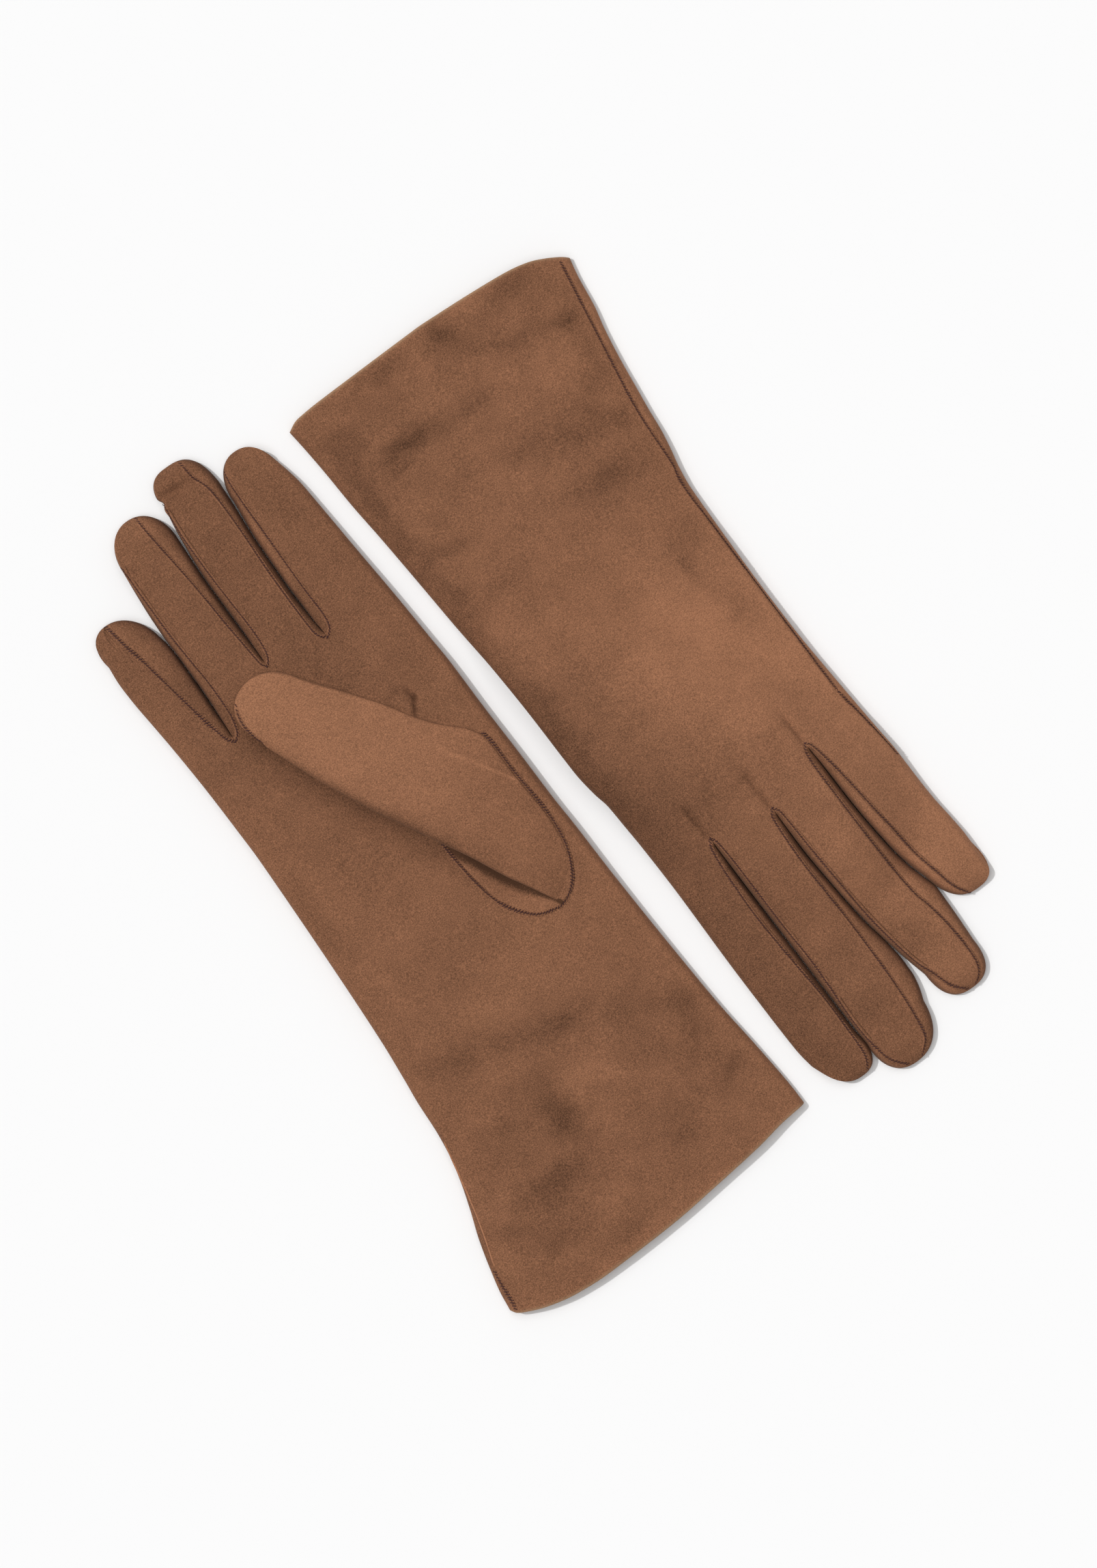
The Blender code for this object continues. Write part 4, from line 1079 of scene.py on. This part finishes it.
def lay(glove, line, side, tree, step):
    """A line of x and y, laid on a surface's upper (1) or under (-1) side: points and their normals."""
    line = resample(line, step)
    points, normals = [], []
    for x, y, _ in to_row(glove, np.column_stack([line, np.zeros(len(line))])):
        hit, normal = drop(tree, x, y, side)
        points.append(hit)
        normals.append(normal if normal.z * side >= 0 else -normal)
    return even(np.array(points), 1), even(np.array(normals), 3)


def even(values, times):
    """Values along a line, evened out with their neighbours."""
    for _ in range(times):
        values[1:-1] = (values[:-2] + 2 * values[1:-1] + values[2:]) / 4
    return values


def thumb_run(glove, step):
    """The thumb's own seam, along its fold and over its tip: points and normals in the row frame."""
    along = np.linspace(-18, THUMB_TIP - 1.6, int((THUMB_TIP + 16) / step))
    angle = np.interp(along, (-18, 50, 64, 72, 82), (-0.75, -0.7, -0.25, 0.3, 0.7))
    steps = ((0, 0), (0.3, 0), (0, 0.06))
    here, ahead, over = (to_row(glove, thumb_point(glove, along + da, angle + dt)) for da, dt in steps)
    normals = np.cross(ahead - here, over - here) * (-1 if glove["palm_up"] else 1)
    return here, normals / np.linalg.norm(normals, axis=1)[:, None]


def frames(points, normals):
    """For each point of a run: the point, its normal, the way along and the way across."""
    ways = np.gradient(points, axis=0)
    for point, normal, way in zip(points, normals, ways):
        along = Vector(way).normalized()
        normal = Vector(normal)
        normal = (normal - along * normal.dot(along)).normalized()
        yield Vector(point), normal, along, normal.cross(along)


def sew_lips(name, runs, suede, tone, profile=LIP):
    """The thin edges of leather that stand along a seam, close together, with a groove between them."""
    points, faces, crease = [], [], []
    sides = len(profile)
    for run in runs:
        base, total = len(points), len(run[0])
        for k, (place, normal, _, cross) in enumerate(frames(*run)):
            sink = -0.45 * (1 - min(1.0, k / 3, (total - 1 - k) / 3))
            for off, high, _ in profile:
                points.append(place + (cross * off + normal * (high + sink)) * MM)
            crease += [dark for _, _, dark in profile]
        faces += grid_faces(total, sides, True, start=base)
        faces.append([base + c for c in reversed(range(sides))])
        faces.append([base + (total - 1) * sides + c for c in range(sides)])
    # The crease darkens the groove between the lips: the seam's line, and painted shade.
    attributes = dict(crease=crease, tone=np.full(len(points), tone))
    return add_mesh(name, np.array(points), faces, suede, attributes)


def sew(name, runs, thread, seed, scale):
    """Overseam stitches along runs of points and normals, one at each point."""
    rng = np.random.default_rng(seed)
    points, faces = [], []
    for run in runs:
        far = np.arange(len(run[0]))
        swing = 1 + 0.22 * np.sin(far / rng.uniform(4, 6)) + 0.16 * np.sin(far / rng.uniform(1.5, 2.2))
        for size, (place, normal, along, cross) in zip(scale * swing, frames(*run)):
            add_stitch(points, faces, place, normal, along, cross, rng, size)
    return add_mesh(name, np.array(points), faces, thread)


def add_stitch(points, faces, place, normal, along, cross, rng, scale):
    """One stitch: a short arched piece of thread that leans across the seam."""
    lean = 1.1 * rng.uniform(0.6, 1.4) * STITCH_SPAN * MM
    span = STITCH_SPAN * scale * rng.uniform(0.88, 1.12) * MM
    shift = along * rng.uniform(-0.08, 0.08) * MM
    centres = []
    for s, high in STITCH_ARCH:
        centres.append(place + shift + cross * span * s + along * lean * s + normal * high * MM)
    base, sides = len(points), 5
    for i, centre in enumerate(centres):
        ahead = (centres[min(i + 1, 4)] - centres[max(i - 1, 0)]).normalized()
        u = ahead.cross(along).normalized()
        v = ahead.cross(u)
        size = THREAD_RADIUS * scale**0.5 * MM * (0.7 if i in (0, 4) else 1.0)
        for k in range(sides):
            t = 2 * math.pi * k / sides
            points.append(centre + (u * math.cos(t) + v * math.sin(t)) * size)
    faces += [face[::-1] for face in grid_faces(5, sides, True, start=base)]
    faces.append([base + k for k in range(sides)])
    faces.append([base + 4 * sides + k for k in reversed(range(sides))])


# ---------------------------------------------------------------- materials
class Nodes:
    """A short way to write a material's node tree."""

    def __init__(self, name):
        self.material = bpy.data.materials.new(name)
        self.material.use_nodes = True
        self.tree = self.material.node_tree
        self.shader = self.tree.nodes["Principled BSDF"]

    def add(self, kind, **settings):
        node = self.tree.nodes.new(kind)
        for key, value in settings.items():
            setattr(node, key, value)
        return node

    def link(self, out, into):
        self.tree.links.new(out, into)

    def attribute(self, name, output="Fac"):
        return self.add("ShaderNodeAttribute", attribute_name=name).outputs[output]

    def noise(self, vector, scale, detail=2.0, rough=0.5, distortion=0.0):
        node = self.add("ShaderNodeTexNoise")
        node.inputs["Scale"].default_value = scale
        node.inputs["Detail"].default_value = detail
        node.inputs["Roughness"].default_value = rough
        node.inputs["Distortion"].default_value = distortion
        self.link(vector, node.inputs["Vector"])
        return node.outputs["Fac"]

    def math(self, operation, a, b=0.0, c=0.0):
        node = self.add("ShaderNodeMath", operation=operation)
        for socket, value in zip(node.inputs, (a, b, c)):
            if isinstance(value, (int, float)):
                socket.default_value = value
            else:
                self.link(value, socket)
        return node.outputs[0]

    def ramp(self, factor, stops):
        node = self.add("ShaderNodeValToRGB")
        while len(node.color_ramp.elements) < len(stops):
            node.color_ramp.elements.new(0.5)
        for element, (at, colour) in zip(node.color_ramp.elements, stops):
            element.position = at
            element.color = (*colour, 1.0)
        self.link(factor, node.inputs["Fac"])
        return node.outputs["Color"]

    def mix(self, factor, a, b, blend="MIX"):
        node = self.add("ShaderNodeMix", data_type="RGBA", blend_type=blend)
        for key, value in (("Factor", factor), ("A", a), ("B", b)):
            socket = [s for s in node.inputs if s.name == key and s.enabled][0]
            if isinstance(value, (int, float)):
                socket.default_value = value
            elif isinstance(value, tuple):
                socket.default_value = (*value, 1.0)
            else:
                self.link(value, socket)
        return [s for s in node.outputs if s.enabled][0]

    def matt(self, roughness):
        self.shader.inputs["Roughness"].default_value = roughness
        self.shader.inputs["Specular IOR Level"].default_value = 0.1

    def relief(self, height, strength, distance):
        bump = self.add("ShaderNodeBump")
        bump.inputs["Strength"].default_value = strength
        bump.inputs["Distance"].default_value = distance
        self.link(height, bump.inputs["Height"])
        self.link(bump.outputs["Normal"], self.shader.inputs["Normal"])


def suede_material():
    """Brown suede: a fine speckled nap, mottled where it lies another way, with the painted light and shade
    that its tone carries; darker in the seams' grooves, partly as painted shade; painted shade in folds and
    slits; and a hem edge lightened partly as a painted highlight.
    """
    n = Nodes("suede")
    rest = n.attribute("rest", "Vector")
    level, fine = 0.5, []
    for amount, *pattern in SUEDE_GRAIN:
        fine.append(n.noise(rest, *pattern))
        level = n.math("MULTIPLY_ADD", n.math("SUBTRACT", fine[-1], 0.5), amount, level)
    level = n.math("MULTIPLY_ADD", n.attribute("tone"), 0.20, level)
    colour = n.ramp(level, [(at, tuple(SUEDE[k] * share for k in range(3))) for at, share in SUEDE_RAMP])
    # Crease: the seams' dark lines, with painted shade in their grooves and in the slits. Rim: the hem's raw
    # edge, also lightened as a painted highlight.
    for name, amount, other in (("crease", 0.8, SEAM_DARK_AND_SHADE), ("inside", 0.45, INSIDE), ("rim", 0.75, RAW_AND_LIT_RIM)):
        colour = n.mix(n.math("MULTIPLY", n.attribute(name), amount), colour, other)
    n.link(colour, n.shader.inputs["Base Color"])
    n.matt(0.95)
    n.shader.inputs["Sheen Weight"].default_value = 0.16
    n.shader.inputs["Sheen Roughness"].default_value = 0.45
    n.shader.inputs["Sheen Tint"].default_value = (0.62, 0.40, 0.28, 1.0)
    n.relief(n.math("MULTIPLY_ADD", fine[1], 0.7, fine[0]), 0.35, 0.00022)
    return n.material


def thread_material():
    """Dark plum sewing thread, twisted from finer strands."""
    n = Nodes("thread")
    strand = n.noise(n.attribute("rest", "Vector"), 2600, 2.0)
    n.link(n.ramp(strand, THREAD), n.shader.inputs["Base Color"])
    n.matt(0.8)
    n.relief(strand, 0.3, 0.0001)
    return n.material


# ---------------------------------------------------------------- each glove, sewn
def hole_lines(glove):
    """The seam round the thumb's hole."""
    down = np.array([0.0, glove["thumb_drop"]])
    base, far = path(BASE_SEAM, 0.8) + down, path(THUMB_FAR[:12], 0.8) + down
    glove["hole_line"] = np.vstack([base[::-1], far])
    glove["hole_ring"] = resample(glove["hole_line"], 4.0)


def under_line(finger, side, gap):
    """A seam of a finger's under side, along its gap."""
    y = np.linspace(gap["under_slit"], finger["cap"] + 3, 60)
    shift = (y > finger["cap"]) * (y - finger["cap"]) * 0.25
    return np.column_stack([seam_x(finger, side, gap, y, False) + (1, -1)[side] * shift, y])


def make_glove(glove, suede, thread):
    """All the pieces of one glove."""
    prepare(glove)
    hole_lines(glove)
    glove["thumb_sides"] = thumb_sides()
    base = make_thumb_base(glove, suede)
    sew_hand(glove, make_hand(glove, suede), base, suede, thread)
    sew_thumb(glove, make_thumb(glove, suede), base, suede, thread)
    fingers = {which: make_finger(glove, which, suede) for which in ORDER}
    tree = surface_tree(fingers.values())
    for which, mesh in fingers.items():
        sew_finger(glove, which, mesh, tree, suede, thread)


def seam_pieces(glove, stem, lines, tree, suede, thread, extra=(), tone=0.0):
    """The lips and the stitches of some seams."""
    name = f"{glove['name']}_{stem}"
    runs = [[lay(glove, *line, tree, step) for line in lines] for step in (SEAM_STEP, STITCH_PITCH)]
    lips = sew_lips(f"{name}_seams", runs[0] + list(extra[:1]), suede, tone)
    size = BOLD if stem in glove["bold"] else glove["plain_stitch"]
    seed = glove["seed"] + len(stem)
    stitches = sew(f"{name}_stitches", runs[1] + list(extra[1:]), thread, seed, size)
    return lips, stitches


def row_point(glove, x, y, z):
    """A point of the glove's frame, in the row frame."""
    return Vector(to_row(glove, np.array([x, y, z])))


def side_seam(glove, below):
    """The side seam's lines, with the side each is on, below or above where the fingers part."""
    if glove["palm_up"]:
        lines = [(path(RIGHT_SIDE_SEAM_TOP), 1), (path(RIGHT_SIDE_SEAM_UNDER), -1)]
    else:
        lines = [(path(LEFT_SIDE_SEAM), 1)]
    split = glove["split"]
    lines = [(line[(line[:, 1] < split) == below], side) for line, side in lines]
    return [(line, side) for line, side in lines if len(line) > 2]


def sew_hand(glove, hand, base, suede, thread):
    """The seams in a hand's skin, and, on the glove that lies palm up, the raw edge of its cuff, attached to
    the cuff's body.
    """
    name = glove["name"]
    palm = 1 if glove["palm_up"] else -1
    tree = surface_tree([hand, base])
    lines = side_seam(glove, True) + [(glove["hole_line"], palm)]
    lips, stitches = seam_pieces(glove, "hand", lines, tree, suede, thread)
    if glove["palm_up"]:
        run = lay(glove, path(RIGHT_RAW_EDGE), 1, tree, SEAM_STEP)
        edge = sew_lips(f"{name}_raw_edge", [run], suede, 2.0, RAW_EDGE)
        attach(edge, f"{name}_cuff")
    for piece in (hand, lips, stitches):
        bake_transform(piece)
    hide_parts(f"{name}_cuff_trank", f"{name}_hand_trank", f"{name}_wrist_crease")
    seams = ("cuff_side_seam", "hand_side_seam", "thumb_seam")
    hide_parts(*[f"{name}_{seam}_thread" for seam in seams])


def sew_thumb(glove, thumb, base, suede, thread):
    """A thumb's own seam, with the thumb's base attached to the hand's body."""
    name = glove["name"]
    extra = (thumb_run(glove, SEAM_STEP), thumb_run(glove, STITCH_PITCH))
    lips, stitches = seam_pieces(glove, "thumb", [], None, suede, thread, extra, 0.3)
    for piece in (thumb, lips, stitches):
        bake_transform(piece)
    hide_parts(f"{name}_thumb", f"{name}_thumb_crease")
    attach(base, f"{name}_hand")
    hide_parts(f"{name}_thumb_base")


def sew_finger(glove, which, finger_mesh, tree, suede, thread):
    """The seams of a finger."""
    name = glove["name"]
    finger = glove["fingers"][which]
    lines = []
    for side, gap in enumerate(finger["gaps"]):
        if gap:
            own = [gap["end"]] + gap["right"] if side == 0 else gap["left"] + [gap["end"]]
            lines += [(path(own), 1), (under_line(finger, side, gap), -1)]
    if which == "little":
        lines += side_seam(glove, False)
    lips, stitches = seam_pieces(glove, which, lines, tree, suede, thread)
    for piece in (finger_mesh, lips, stitches):
        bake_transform(piece)
    nodes = [node for node in frame["nodes"] if node.startswith(f"{name}_{which}_")]
    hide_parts(*[node for node in nodes if not node.endswith("thread")])
    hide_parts(*[node for node in nodes if node.endswith("thread")])


# ---------------------------------------------------------------- floor, lights and camera
def make_floor():
    """A plain white surface under the gloves."""
    bpy.ops.mesh.primitive_plane_add(size=FLOOR_SIZE, location=(0, 0, 0))
    floor = bpy.context.object
    floor.name = "floor"
    n = Nodes("paper")
    n.shader.inputs["Base Color"].default_value = (FLOOR, FLOOR, FLOOR, 1.0)
    n.matt(0.9)
    floor.data.materials.append(n.material)


def picture_axes():
    """The picture's right and up directions, on the table."""
    c, s = math.cos(PICTURE_TURN), math.sin(PICTURE_TURN)
    return Vector((c, s, 0)), Vector((-s, c, 0))


def make_lights():
    """A hard light and a broad soft one, both from the picture's left, and light from all round."""
    right, up = picture_axes()
    world = bpy.data.worlds.new("studio")
    bpy.context.scene.world = world
    world.use_nodes = True
    background = world.node_tree.nodes["Background"]
    background.inputs["Color"].default_value = (1.0, 1.0, 1.0, 1.0)
    background.inputs["Strength"].default_value = WORLD
    level = right * LIGHT_FROM[0] + up * LIGHT_FROM[1]
    for name, strength, height, spread in LAMPS:
        lamp = bpy.data.lights.new(name, "SUN")
        lamp.energy = strength
        lamp.angle = math.radians(spread)
        obj = bpy.data.objects.new(name, lamp)
        bpy.context.scene.collection.objects.link(obj)
        height = math.radians(height)
        way = level * math.cos(height) + Vector((0, 0, math.sin(height)))
        obj.location = way
        obj.rotation_euler = (-way).to_track_quat("-Z", "Y").to_euler()


def make_camera():
    """Straight down, at the picture's turn and framing."""
    right, up = picture_axes()
    data = bpy.data.cameras.new("camera")
    camera = bpy.data.objects.new("camera", data)
    bpy.context.scene.collection.objects.link(camera)
    data.sensor_fit = "VERTICAL"
    data.sensor_height = SENSOR
    data.lens = SENSOR * CAMERA_HEIGHT / VIEW_HEIGHT
    data.clip_end = 20.0
    centre = row_point(RIGHT, *PICTURE_CENTRE)
    camera.matrix_world = Matrix([
        (right.x, up.x, 0, centre.x), (right.y, up.y, 0, centre.y),
        (0, 0, 1, CAMERA_HEIGHT + FOCUS_HEIGHT), (0, 0, 0, 1),
    ])
    bpy.context.scene.camera = camera


def main():
    bpy.context.scene.view_settings.view_transform = "Standard"
    suede, thread = suede_material(), thread_material()
    for glove in (RIGHT, LEFT):
        make_glove(glove, suede, thread)
    make_floor()
    make_lights()
    make_camera()


main()
